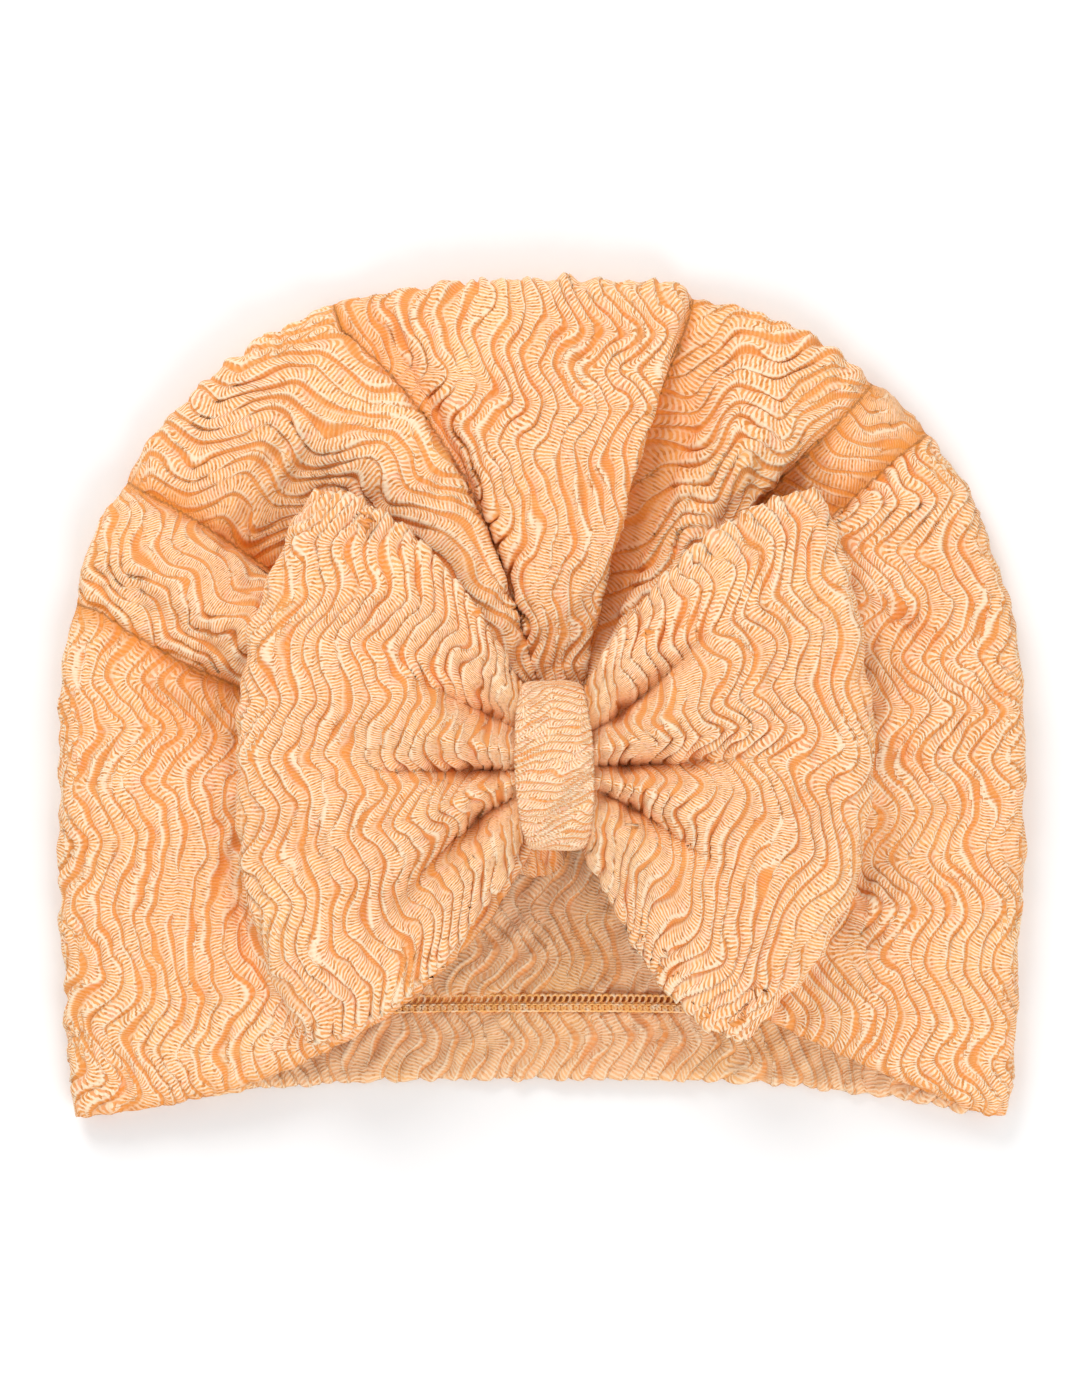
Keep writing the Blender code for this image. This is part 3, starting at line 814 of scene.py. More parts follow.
def fold_value(out, before, share, at_middle, at_rim):
    """A value that runs from 0 at the gather over the middle to the rim of each fold line."""
    grown = ease(out / CREASE_AT)
    outer = ease((out - MIDDLE_AT) / (1 - MIDDLE_AT))
    start = at_middle[before] * grown + (at_rim - at_middle)[before] * outer
    end = at_middle[before + 1] * grown + (at_rim - at_middle)[before + 1] * outer
    sharp = at_middle > SHARP_FROM
    rising = sharp[before] & ~sharp[before + 1]
    falling = ~sharp[before] & sharp[before + 1]
    mixed = np.where(rising, 1 - (1 - share) ** 2, np.where(falling, share**2, ease(share)))
    return start + mixed * (end - start)


def rib_coordinates(x, y, before):
    """Cloth coordinates of the front layer, along and across its ribs, their sway and their run."""
    names = [line.name for line in FOLD_LINES]
    p, q = np.zeros_like(x), np.zeros_like(x)
    sway, row = np.zeros_like(x), np.zeros(len(x), int)
    for number, run in enumerate(RIB_RUNS):
        centre_x, centre_y = run.centre_x * CAP_WIDTH, run.centre_y * CAP_HEIGHT
        here = before >= names.index(run.first_line)
        away = np.hypot(x - centre_x, y - centre_y)
        radius = run.radius * CAP_WIDTH
        turn = np.arctan2(y - centre_y, centre_x - x)
        p = np.where(here, turn * radius, p)
        q = np.where(here, radius - away, q)
        sway = np.where(here, run.sway, sway)
        row = np.where(here, number, row)
    near = np.exp(-np.hypot(x - KNOT_X, y - KNOT_Y) / GATHER_FADE)
    return p, q * (1 + GATHER_TIGHTENING * near), sway * (1 - GATHER_CALMING * near), row


def front_pattern(p, q, sway, row, sizes):
    """The ribs of all pleats of the front layer."""
    parts = [np.zeros_like(p) for _ in range(3)]
    for number, run in enumerate(RIB_RUNS):
        here = row == number
        for whole, part in zip(parts, rib_pattern(p[here], q[here], sizes, sway[here], run.seed)):
            whole[here] = part
    return parts


def soft_creases(x, y):
    """Depth of the soft creases, from 0 to about 1."""
    depth = np.zeros_like(x)
    for crease in SOFT_CREASES:
        start = np.array([crease.x0 * CAP_WIDTH, crease.y0 * CAP_HEIGHT])
        run = np.array([crease.x1 * CAP_WIDTH, crease.y1 * CAP_HEIGHT]) - start
        length = np.linalg.norm(run)
        run = run / length
        along = ((x - start[0]) * run[0] + (y - start[1]) * run[1]) / length
        aside = (y - start[1]) * run[0] - (x - start[0]) * run[1]
        width = crease.width * CAP_WIDTH
        fade = ease(1 - np.abs(2 * along - 1) / SOFT_FADE)
        low = np.exp(-((aside / (SOFT_VALLEY * width)) ** 2))
        bank = np.exp(-(((aside - BANK_AT * width) / (BANK_WIDTH * width)) ** 2))
        depth += crease.depth * fade * (low - BANK_HEIGHT * bank)
    return depth


def front_edge_points():
    """Plan of the front layer's lower edge, from the left corner to the knot and to the right."""
    bearings, distances = rim_polar()
    sides = []
    for line in (FOLD_LINES[0], FOLD_LINES[-1]):
        rim_deg = float(np.clip(line.rim_deg, bearings[0], bearings[-1]))
        reach = float(np.interp(rim_deg, bearings, distances))
        share = np.linspace(0.0, 1.0, FRONT_EDGE_POINTS)
        bearing = np.radians(bend_line(share, line.knot_deg, line.middle_deg, rim_deg))
        away = GATHER_RADIUS + share * (reach - GATHER_RADIUS)
        points = [KNOT_X + away * np.sin(bearing), KNOT_Y + away * np.cos(bearing)]
        sides.append(np.stack(points, axis=1))
    return np.concatenate([sides[0][::-1], sides[1]])


def front_height(x, y, out, drop, edge, sizes):
    """Height of the front layer: the rounded top less its folds, creases and turned-down edge."""
    z = cap_top(x, y) - sizes.fold_depth * drop
    z -= sizes.fold_depth * soft_creases(x, y)
    inner = 1 - ease((out - FRONT_SWELL_END) / FRONT_SWELL_FADE)
    z += FRONT_SWELL.height * smooth_noise(x, y, FRONT_SWELL.size, FRONT_SWELL.seed) * inner
    return z - turn_down(edge, FRONT_TURN)


def front_lift(before, share, drop, edge):
    """How much of the ribs' height is left: less in the folds, at the edge and where runs meet.
    Where it is low the material also paints shade.
    """
    lift = 1 - FOLD_LIFT_LOSS * np.clip(drop, 0.0, DEEPEST_FOLD)
    lift = lift * grow(EDGE_LIFT, edge / EDGE_LIFT_WIDTH)
    return lift * grow(MEET_LIFT, share_from_seam(before, share) / MEET_SHARE)


def fold_front(piece, x, y, edge, sizes, way_out=None, round_share=None):
    """Places the front layer's vertices from their plan, and stores their ribs."""
    px, py = x, y
    if round_share is not None:
        px = x + way_out[:, 0] * round_share * SIDE_FOLD_LENGTH
        py = y + way_out[:, 1] * round_share * SIDE_FOLD_LENGTH
    out, _, before, _ = fold_places(x, y)
    p, q, sway, row = rib_coordinates(px, py, before)
    pattern = front_pattern(p, q, sway, row, sizes)
    aside = FOLD_SCALLOP * (rib_relief(*pattern[:2]) - 0.5) * ease(out / CREASE_AT)
    out, bearing, before, share = fold_places(x, y, aside)
    drop = fold_value(out, before, share, fold_column("middle_drop"), fold_column("rim_drop"))
    shift = sizes.tuck_reach * fold_tuck(out, before, share, fold_column("tuck"))
    z = front_height(x, y, out, drop, edge, sizes)
    if round_share is not None:
        x, y, z = round_side(x, y, z, way_out, round_share, rim_bump(bearing), sizes)
    turn = np.radians(bearing)
    place_vertices(piece, x + shift * np.cos(turn), y - shift * np.sin(turn), z)
    store_ribs(piece, p, q, pattern, front_lift(before, share, drop, edge))


def share_from_seam(before, share):
    """How far a point is from where two runs of ribs meet, as a share of its fold's width."""
    names = [line.name for line in FOLD_LINES]
    meets = np.isin(names, [run.first_line for run in RIB_RUNS[1:]])
    after_seam = np.where(meets[before], share, 1.0)
    return np.where(meets[before + 1], np.minimum(after_seam, 1 - share), after_seam)


def fold_tuck(out, before, share, tuck):
    """How far a point is tucked sideways, from minus 1 to 1."""
    outer = ease((out - MIDDLE_AT) / (1 - MIDDLE_AT))
    grown = ease(out / CREASE_AT) * (1 - TUCK_LOSS * outer)
    start, end = tuck[before], tuck[before + 1]
    return grown * (start + ease(share) * (end - start))


def rim_bump(bearing):
    """How far the outline swells at a bearing."""
    return sum(
        bump.height * np.exp(-(((bearing - bump.bearing) / bump.width) ** 2)) for bump in RIM_BUMPS
    )


def round_side(x, y, top, way_out, round_share, bump, sizes):
    """The side fold: half a round from the front layer's height down to the floor, and under."""
    low = sizes.rib_height * UNDER_HEIGHT
    turn = np.radians(90 - 180 * np.clip(round_share / ROUND_SHARE, 0.0, 1.0))
    under = np.clip((round_share - ROUND_SHARE) / UNDER_SHARE, 0.0, 1.0) * UNDER_RUN
    reach = SIDE_FOLD_REACH - sizes.rib_height + bump
    out = reach * np.cos(turn) - under
    z = low + (top - low) / 2 * (1 + np.sin(turn))
    return x + way_out[:, 0] * out, y + way_out[:, 1] * out, z


def under_bow(x, y):
    """True where the bow lies well over a point of the cap."""
    aside, up = np.abs(x - KNOT_X), y - KNOT_Y
    out = np.clip(aside / LOOP_REACH, 0.0, 1.0)
    half = BAND_HEIGHT / 2 + out * (LOOP_HALF_HEIGHT - BAND_HEIGHT / 2)
    top_inset = max(loop.top_inset for loop in LOOPS)
    bottom_inset = max(loop.bottom_inset for loop in LOOPS)
    across = np.clip(np.abs(up) / LOOP_HALF_HEIGHT, 0, 1)
    inset = np.where(up > 0, top_inset, bottom_inset) * across**CORNER_POWER
    inside = aside < LOOP_REACH * (1 - inset) - UNDER_BOW_SIDE
    return inside & (np.abs(up) < half - UNDER_BOW_END)


def make_front(context):
    """The pleated front layer, which turns over its side fold down to the floor."""
    sizes = context.scene.turban_sizes
    rim, _ = inset_outline(SIDE_FOLD_REACH)
    left, crown, right = rim_parts(rim)
    edge = front_edge_points()
    patch, u, v = new_grid("cap_front", FRONT_COLUMNS, FRONT_ROWS)
    plan = fill_between(u, v, edge, crown, left, right)
    fold_front(patch, plan[:, 0], plan[:, 1], v * FRONT_RUN, sizes)
    columns = 2 * FRONT_ROWS + FRONT_COLUMNS
    strip, s, beyond = new_grid("side_fold", columns, FOLD_ROWS)
    step = np.rint(s * columns)
    strip_u = np.clip((step - FRONT_ROWS) / FRONT_COLUMNS, 0.0, 1.0)
    strip_v = np.clip(np.minimum(step, columns - step) / FRONT_ROWS, 0.0, 1.0)
    plan = fill_between(strip_u, strip_v, edge, crown, left, right)
    ways = strip_ways(s, plan)
    fold_front(strip, plan[:, 0], plan[:, 1], strip_v * FRONT_RUN, sizes, ways, beyond)
    join_grids(patch, strip)
    outer = len(patch.data.vertices)
    hidden = under_bow(*vertices_of(patch)[:, :2].T)
    raise_ribs(patch, sizes)
    give_wall(patch, sizes.cloth)
    inner = np.ones(len(patch.data.vertices), bool)
    inner[:outer] = hidden
    thin_hidden(patch, inner)
    finish_piece(patch, cap_material(context), "cap_shell")
    return patch


def strip_ways(s, plan):
    """The way out of the rim at each vertex of the side fold's strip."""
    order = np.argsort(s, kind="stable")
    shares, first = np.unique(np.round(s[order], 6), return_index=True)
    rim = plan[order][first]
    run = np.gradient(rim, axis=0)
    ways = np.stack([-run[:, 1], run[:, 0]], axis=1)
    ways /= np.linalg.norm(ways, axis=1)[:, None]
    ways = np.stack([np.interp(s, shares, ways[:, axis]) for axis in range(2)], axis=1)
    return ways / np.linalg.norm(ways, axis=1)[:, None]


# The cap's back layer


def hem_points(rim):
    """Plan of the back layer's lower edge between the rim's two ends."""
    start, end = rim[0], rim[-1]
    share = np.linspace(-1.0, 1.0, HEM_POINTS)
    x = (start[0] + end[0]) / 2 + share * (end[0] - start[0]) / 2
    y = start[1] + HEM_RISE * (1 - np.abs(share) ** HEM_POWER)
    return np.stack([x, y], axis=1)


def back_height(x, y, above_hem, seam, sizes):
    """Height of the back layer: a step up to its hem, a dip along the seam, an edge turned down."""
    z = sizes.cloth + HEM_STEP * (1 - ease((above_hem - HEM_WIDTH) / HEM_STEP_WIDTH))
    near_sides = np.clip((np.abs(x) - FLAT_SIDES_FROM) / FLAT_SIDES_RUN, 0.0, 1.0)
    swell = 1 + smooth_noise(x, y, BACK_SWELL.size, BACK_SWELL.seed)
    z += BACK_SWELL.height * swell * (1 - near_sides)
    z -= SEAM_DIP * seam
    return z - turn_down(above_hem, BACK_TURN)


def make_back(context):
    """The flat back layer, whose hem shows in the mouth. Its rows are closer near the hem."""
    sizes = context.scene.turban_sizes
    rim, _ = inset_outline(SIDE_FOLD_REACH + UNDER_RUN - BACK_OVERLAP)
    left, crown, right = rim_parts(rim)
    hem = hem_points(rim)
    piece, u, v = new_grid("cap_back", BACK_COLUMNS, BACK_ROWS)
    rows = 0.5 * v + 0.5 * v**3
    x, y = fill_between(u, rows, hem, crown, left, right).T
    above_hem = y - np.interp(x, hem[:, 0], hem[:, 1])
    seam = np.exp(-(((above_hem - HEM_WIDTH) / SEAM_WIDTH) ** SEAM_POWER))
    place_vertices(piece, x, y, back_height(x, y, above_hem, seam, sizes))
    pattern = rib_pattern(y, x, sizes, 1.0, BACK_RIB_SEED)
    store_ribs(piece, y, x, pattern, BACK_LIFT - SEAM_LIFT_LOSS * seam)
    raise_ribs(piece, sizes)
    give_wall(piece, sizes.cloth)
    finish_piece(piece, back_material(context), "cap_shell")
    return piece


# The bow


def band_middle_z():
    """Height of the band's middle."""
    return (BAND_LOW.z + BAND_HIGH.z) / 2


def pinch_half_thickness(place, cloth):
    """Half the height of the gathered bow inside the band."""
    most = BAND_DEPTH / 2 - cloth - SEAT_GAP
    rounded = most * (1 - np.abs(place) ** BAND_POWER) ** (1 / BAND_POWER)
    return np.maximum(rounded, cloth + SEAT_GAP)


def loop_place(loop, place, out):
    """Plan of a loop: place from -1 to 1 across it, out from 0 at the knot to 1."""
    across = np.abs(place)
    inset = np.where(place > 0, loop.top_inset, loop.bottom_inset)
    far_x = LOOP_REACH * (1 - inset * across**CORNER_POWER)
    far_y = place * LOOP_HALF_HEIGHT
    near_x = BAND_WIDTH / 2 - PINCH_OVERLAP
    near_y = place * (BAND_HEIGHT / 2 - PINCH_END_GAP - PINCH_INSET)
    x = near_x + out * (far_x - near_x)
    bulge = LOOP_BULGE * place * across * 4 * out * (1 - out)
    y = near_y + out * (far_y - near_y) + bulge
    return KNOT_X + loop.side * x, KNOT_Y + y


def crease_drop(loop, place, out):
    """How deep the creases that run out of the knot are, from 0 to about 1."""
    drop = np.zeros_like(place)
    for crease in CREASES:
        if crease.loop != loop.name:
            continue
        at = crease.knot_place + (crease.far_place - crease.knot_place) * out
        away = np.clip(np.abs(place - at) / crease.width, 0.0, 1.0)
        fade = grow(CREASE_LEAST, out / CREASE_GROWN) * (1 - ease(out / crease.reach))
        drop = np.maximum(drop, crease.depth * fade * (1 - away) ** 2)
    return drop


def loop_cloth(place, on_top, turned, under):
    """Cloth coordinates of a loop: along its ribs and across them, tighter near the knot."""
    length = (LOOP_REACH - BAND_WIDTH / 2) * TURN_START
    q = length * (on_top + under) + LOOP_TURN * turned
    return place * LOOP_HALF_HEIGHT, q + KNOT_GATHER * (1 - np.exp(-q / KNOT_GATHER))


def loop_heights(loop, place, ribbed, out, sizes):
    """Heights of a loop's underside and top. The creases follow the ribbed place."""
    x, y = loop_place(loop, place, out)
    free = ease(out / LIFT_END)
    pinched = pinch_half_thickness(place, sizes.cloth)
    resting = cap_top(x, y) + sizes.rib_height
    underside = band_middle_z() - pinched
    underside = underside + (resting - underside) * free
    thinning = ease((np.abs(place) - EDGE_START) / (1 - EDGE_START))
    puff = LOOP_PUFF + (LOOP_EDGE - LOOP_PUFF) * thinning
    flattening = (LOOP_FOLD - puff) * ease((out - LIFT_END) / (1 - LIFT_END))
    thickness = 2 * pinched + (puff - 2 * pinched) * free + flattening
    thickness = thickness - sizes.crease_depth * crease_drop(loop, ribbed, out)
    swell = LOOP_SWELL.height * smooth_noise(x, y, LOOP_SWELL.size, loop.seed + LOOP_SWELL.seed)
    thickness = thickness + swell * ease(out / LOOP_SWELL_GROWN)
    return underside, underside + np.maximum(thickness, 2 * sizes.cloth + LOOP_LEAST_GAP)


def loop_run(u):
    """Shares of a loop's top, of the turn round its fold and of its underside, and how far out."""
    on_top = np.clip(u / TOP_END, 0.0, 1.0)
    turned = np.clip((u - TOP_END) / (TURN_END - TOP_END), 0.0, 1.0)
    under = np.clip((u - TURN_END) / (1 - TURN_END), 0.0, 1.0)
    out = np.where(under > 0, TURN_START * (1 - under), TURN_START * on_top)
    rounded = TURN_START + (1 - TURN_START) * np.sin(math.pi * turned)
    return on_top, turned, under, np.where((turned > 0) & (under == 0), rounded, out)


def make_loop(context, loop):
    """One hollow loop of the bow: its top, the turn round its far fold and its underside."""
    sizes = context.scene.turban_sizes
    piece, u, v = new_grid(loop.name, LOOP_COLUMNS, LOOP_ROWS)
    place = 2 * v - 1
    on_top, turned, under, out = loop_run(u)
    p, q = loop_cloth(place, on_top, turned, under)
    pattern = rib_pattern(p, q, sizes, grow(LOOP_SWAY, out / LOOP_SWAY_GROWN), loop.seed + 3)
    scallop = SCALLOP * (rib_relief(*pattern[:2]) - 0.5) * ease(out / SCALLOP_GROWN)
    scallop = scallop * (1 - ease(under))
    ribbed = place + scallop / LOOP_HALF_HEIGHT
    below = ease(turned) * loop.under_fall * np.clip(-place, 0.0, 1.0) ** 2
    x, y = loop_place(loop, place, out)
    y = y - below * LOOP_HALF_HEIGHT * ease(out) + scallop * place**SCALLOP_POWER
    low, high = loop_heights(loop, place, ribbed, np.minimum(out, TURN_START), sizes)
    facing = np.cos(math.pi * turned)
    z = (low + high) / 2 + (high - low) / 2 * facing
    z -= turn_down((1 - np.abs(place)) * LOOP_HALF_HEIGHT, LOOP_TURN_DOWN) * facing
    place_vertices(piece, x, y, z)
    drop = crease_drop(loop, ribbed, out)
    lift = 1 - CREASE_LIFT_LOSS * np.clip(drop, 0.0, DEEPEST_CREASE)
    store_ribs(piece, p, q, pattern, lift * grow(LOOP_LIFT, out / LOOP_LIFT_GROWN))
    if loop.side < 0:
        turn_faces_over(piece)
    raise_ribs(piece, sizes, 1 - ease(under / UNDER_LIFT_END))
    flat = 1 - np.clip(drop, 0.0, WALL_CREASE_LOSS)
    give_wall(piece, sizes.cloth, WALL_LEAST + WALL_MORE * ease(out / WALL_GROWN) * flat)
    finish_piece(piece, cap_material(context), "bow")
    return piece


def turn_faces_over(piece):
    """Turns a piece's faces over, so that they point outwards."""
    only_select(piece)
    bpy.ops.object.mode_set(mode="EDIT")
    bpy.ops.mesh.select_all(action="SELECT")
    bpy.ops.mesh.flip_normals()
    bpy.ops.object.mode_set(mode="OBJECT")


# The band round the knot


def ring_turns(share):
    """Turns round the band's rounded oblong at even shares of its length, and that length."""
    turn = np.linspace(0.0, 2 * math.pi, BAND_STEPS)
    y = BAND_HEIGHT / 2 * signed_power(np.cos(turn), 2 / BAND_POWER)
    z = BAND_DEPTH / 2 * signed_power(np.sin(turn), 2 / BAND_POWER)
    length = np.concatenate([[0.0], np.cumsum(np.hypot(np.diff(y), np.diff(z)))])
    return np.interp(share * length[-1], length, turn), length[-1]


def make_band(context):
    """The band: a closed ring of cloth round the bow's pinch, narrower at its two ends."""
    sizes = context.scene.turban_sizes
    piece, u, v = new_grid("knot_wrap", BAND_COLUMNS, BAND_RING)
    side = 2 * u - 1
    turn, length = ring_turns(v)
    round_off = BAND_ROUNDING * side**ROUNDING_POWER
    half_z = BAND_DEPTH / 2 - BAND_INSET - round_off
    half_y = BAND_HEIGHT / 2 - BAND_INSET - round_off
    z = band_middle_z() + half_z * signed_power(np.sin(turn), 2 / BAND_POWER)
    y = KNOT_Y + half_y * signed_power(np.cos(turn), 2 / BAND_POWER)
    along = (y - KNOT_Y) / half_y
    x = KNOT_X + side * BAND_WIDTH / 2 * (1 - BAND_WAIST * np.abs(along) ** WAIST_POWER)
    x = x - BAND_LEAN * along
    place_vertices(piece, x, y, z)
    q = (v * length + BAND_SLANT * (x - KNOT_X)) * BAND_STRETCH
    pattern = rib_pattern(BAND_WAVES * x, q, sizes, 1.0, BAND_RIB_SEED)
    store_ribs(piece, x, q, pattern, BAND_LIFT)
    join_grids(piece)
    turn_faces_over(piece)
    raise_ribs(piece, sizes)
    give_wall(piece, sizes.cloth)
    finish_piece(piece, band_material(context), "knot_band")
    return piece


# The bunch of cloth under the band


def make_tuft(context):
    """The small end of gathered cloth that shows below the band."""
    sizes = context.scene.turban_sizes
    piece, u, v = new_grid("gather_tuft", TUFT_FINENESS, TUFT_FINENESS)
    side, climb = 2 * u - 1, 2 * v - 1
    across = side * np.sqrt(1 - climb**2 / 2)
    up = climb * np.sqrt(1 - side**2 / 2)
    round_off = np.sqrt(np.clip(1 - across**2 - up**2, 0.0, 1.0))
    x = KNOT_X + TUFT_X + TUFT_WIDTH / 2 * across * (1 - TUFT_FLARE * up)
    y = KNOT_Y + TUFT_Y + TUFT_HEIGHT / 2 * up
    crumple = 1 + TUFT_CRUMPLE * smooth_noise(x, y, CRUMPLE_SIZE, CRUMPLE_SEED)
    z = TUFT_LOW + TUFT_TILT * (1 + up) / 2 + TUFT_RISE * round_off * crumple
    z += TUFT_GATHER * round_off * np.cos(TUFT_GATHERS * math.pi * across)
    place_vertices(piece, x, y, z)
    q = BAND_STRETCH * (x + TUFT_SLANT * y)
    store_ribs(piece, y, q, rib_pattern(y, q, sizes, TUFT_SWAY, TUFT_RIB_SEED), TUFT_LIFT)
    raise_ribs(piece, sizes)
    give_wall(piece, sizes.cloth / 2)
    finish_piece(piece, cap_material(context), "cap_shell")
    return piece


# Materials


class Tree:
    """The nodes of one new material, added one by one round its shader."""

    def __init__(self, name):
        self.material = bpy.data.materials.new(name)
        self.material.use_nodes = True
        self.nodes = self.material.node_tree.nodes
        self.shader = self.nodes["Principled BSDF"]

    def feed(self, socket, value):
        """Links an output to a socket, or sets the socket to a number or a colour."""
        if hasattr(value, "is_output"):
            self.material.node_tree.links.new(value, socket)
        elif isinstance(value, (int, float)):
            socket.default_value = value
        else:
            socket.default_value = (*value, 1.0)

    def calc(self, operation, first, second=None, third=None, clamp=False):
        """The result of a math node."""
        node = self.nodes.new("ShaderNodeMath")
        node.operation = operation
        node.use_clamp = clamp
        for socket, value in zip(node.inputs, (first, second, third)):
            if value is not None:
                self.feed(socket, value)
        return node.outputs[0]

    def product(self, first, *others, clamp=False):
        """The product of several values, clamped at the end."""
        for other in others[:-1]:
            first = self.calc("MULTIPLY", first, other)
        return self.calc("MULTIPLY", first, others[-1], clamp=clamp)

    def above(self, value, start, gain):
        """0 up to a start, and from there a rise to 1."""
        return self.calc("MULTIPLY", self.calc("SUBTRACT", value, start), gain, clamp=True)

    def ramp(self, factor, stops):
        """A ramp of greys, from (place, value) stops."""
        node = self.nodes.new("ShaderNodeValToRGB")
        for _ in range(len(stops) - 2):
            node.color_ramp.elements.new(0.5)
        for element, (place, value) in zip(node.color_ramp.elements, stops):
            element.position = place
            element.color = (value, value, value, 1.0)
        self.feed(node.inputs["Fac"], factor)
        return node.outputs["Color"]

    def mix(self, factor, first, second):
        """A colour mixed between two, each an output or a colour."""
        node = self.nodes.new("ShaderNodeMix")
        node.data_type = "RGBA"
        self.feed(node.inputs["Factor"], factor)
        for name, value in (("A", first), ("B", second)):
            sockets = [each for each in node.inputs if each.name == name and each.type == "RGBA"]
            self.feed(sockets[0], value)
        return [each for each in node.outputs if each.type == "RGBA"][0]

    def noise(self, vector, scale, detail):
        node = self.nodes.new("ShaderNodeTexNoise")
        self.feed(node.inputs["Scale"], scale)
        self.feed(node.inputs["Detail"], detail)
        self.feed(node.inputs["Vector"], vector)
        return node.outputs["Fac"]

    def attribute(self, name):
        """The three values that a piece stores under a name."""
        stored = self.nodes.new("ShaderNodeAttribute")
        stored.attribute_name = name
        parts = self.nodes.new("ShaderNodeSeparateXYZ")
        self.feed(parts.inputs[0], stored.outputs["Vector"])
        return parts.outputs

    def place(self, x, y):
        node = self.nodes.new("ShaderNodeCombineXYZ")
        self.feed(node.inputs["X"], x)
        self.feed(node.inputs["Y"], y)
        return node.outputs[0]

    def bump(self, height, strength, distance):
        """Bumps the shader's surface by a height."""
        node = self.nodes.new("ShaderNodeBump")
        self.feed(node.inputs["Strength"], strength)
        self.feed(node.inputs["Distance"], distance)
        self.feed(node.inputs["Height"], height)
        self.feed(self.shader.inputs["Normal"], node.outputs["Normal"])


# What the knit's colour and bump are made from: strokes of the stitches, lines along the rib, where
# a highlight is painted, the groove and the body between, where shade is painted, the cloth's lift,
# which sets the painted shade of the folds, and noises of the yarn.
Knit = namedtuple("Knit", "stitch jitter grain line groove body lift patches flecks holes")


def read_knit(tree, sizes):
    """Lays the stitches out along the ribs that the mesh has."""
    rib_x, rib_y, slope = tree.attribute("rib")
    p, q, lift = tree.attribute("cloth")
    turn = tree.calc("DIVIDE", tree.calc("ARCTAN2", rib_y, rib_x), 2 * math.pi)
    across = tree.calc("ADD", turn, 0.5)
    along = tree.calc("SUBTRACT", p, tree.product(slope, turn, sizes.rib_pitch))
    spread = tree.place(along, q)
    stretched = tree.place(tree.product(along, 1.6), tree.product(q, 0.9))

    jitter = tree.noise(spread, JITTER_SCALE, 1.0)
    wobble = tree.product(tree.calc("SUBTRACT", jitter, 0.5), STITCH_WOBBLE)
    rows = tree.calc("ADD", tree.product(along, 2 * math.pi / sizes.stitch), wobble)
    stitch = tree.calc("MULTIPLY_ADD", tree.calc("SINE", rows), 1.10, 0.50, clamp=True)
    # Painted highlight: a pale line on each rib's lip and on the thin cord behind it.
    cord = tree.product(tree.ramp(across, CORD_STOPS), 0.7)
    line = tree.calc("MAXIMUM", tree.ramp(across, LIP_STOPS), cord)
    return Knit(
        stitch=stitch,
        jitter=jitter,
        grain=tree.calc("ADD", tree.noise(spread, GRAIN_SCALE, 0.0), 0.5),
        line=tree.product(line, tree.calc("ADD", jitter, 0.35), clamp=True),
        groove=tree.ramp(across, GROOVE_STOPS),
        body=tree.ramp(across, BODY_STOPS),
        lift=lift,
        patches=tree.noise(spread, PATCH_SCALE, 2.0),
        flecks=tree.noise(stretched, FLECK_SCALE, 3.0),
        holes=tree.noise(spread, HOLE_SCALE, 0.0),
    )


def yarn_colour(tree, knit, colours, contrast, rose, paler):
    """The melange yarn: peach with straw patches and rose flecks, and painted highlights in cream
    where the stitches rise, on the rib's top and along its lip.
    """
    # Paler towards cream: the band's own paleness, and on the back also painted light that lifts the
    # shade in the mouth.
    peach = [a + (b - a) * paler for a, b in zip(colours.peach, colours.cream)]
    colour = tree.mix(tree.above(knit.patches, 0.46, 3.4), peach, colours.straw)
    rose_share = tree.product(tree.above(knit.flecks, 0.50, 5.0 * rose), 0.75)
    colour = tree.mix(rose_share, colour, colours.rose)
    # Painted highlight: cream on the stitch strokes, strongest on the rib's top.
    light = tree.product(knit.stitch, knit.body, knit.grain, 0.90 * contrast, clamp=True)
    colour = tree.mix(light, colour, colours.cream)
    return tree.mix(tree.product(knit.line, 0.95 * contrast), colour, colours.cream)


def shade_yarn(tree, knit, colour, colours, contrast, fold_shade_strength):
    """Painted shade in orange: in the ribs' grooves, on each rib's lower side, and darker in the
    folds and wherever the lift is low, for the warm shade where the light comes through the knit.
    """
    # Painted shade: orange in the grooves, lighter across the stitch strokes and uneven along them,
    # and a little on each rib's lower side.
    strokes = tree.calc("MULTIPLY_ADD", tree.product(knit.stitch, knit.grain), -0.75, 0.95)
    groove_shade_share = tree.calc("MULTIPLY_ADD", knit.flecks, 3.2, -0.85, clamp=True)
    low = tree.product(tree.calc("SUBTRACT", 1.0, knit.body), 0.25)
    dark = tree.calc("ADD", tree.product(knit.groove, groove_shade_share, strokes), low)
    colour = tree.mix(tree.product(dark, contrast, clamp=True), colour, colours.orange)
    # Painted shade in the folds: darker orange where the lift is low.
    deep = tree.product(tree.calc("SUBTRACT", FLAT_LIFT, knit.lift), fold_shade_strength, clamp=True)
    fold_shade_colour = [share * value for share, value in zip(FOLD_SHADE_SHARES, colours.orange)]
    return tree.mix(deep, colour, fold_shade_colour)


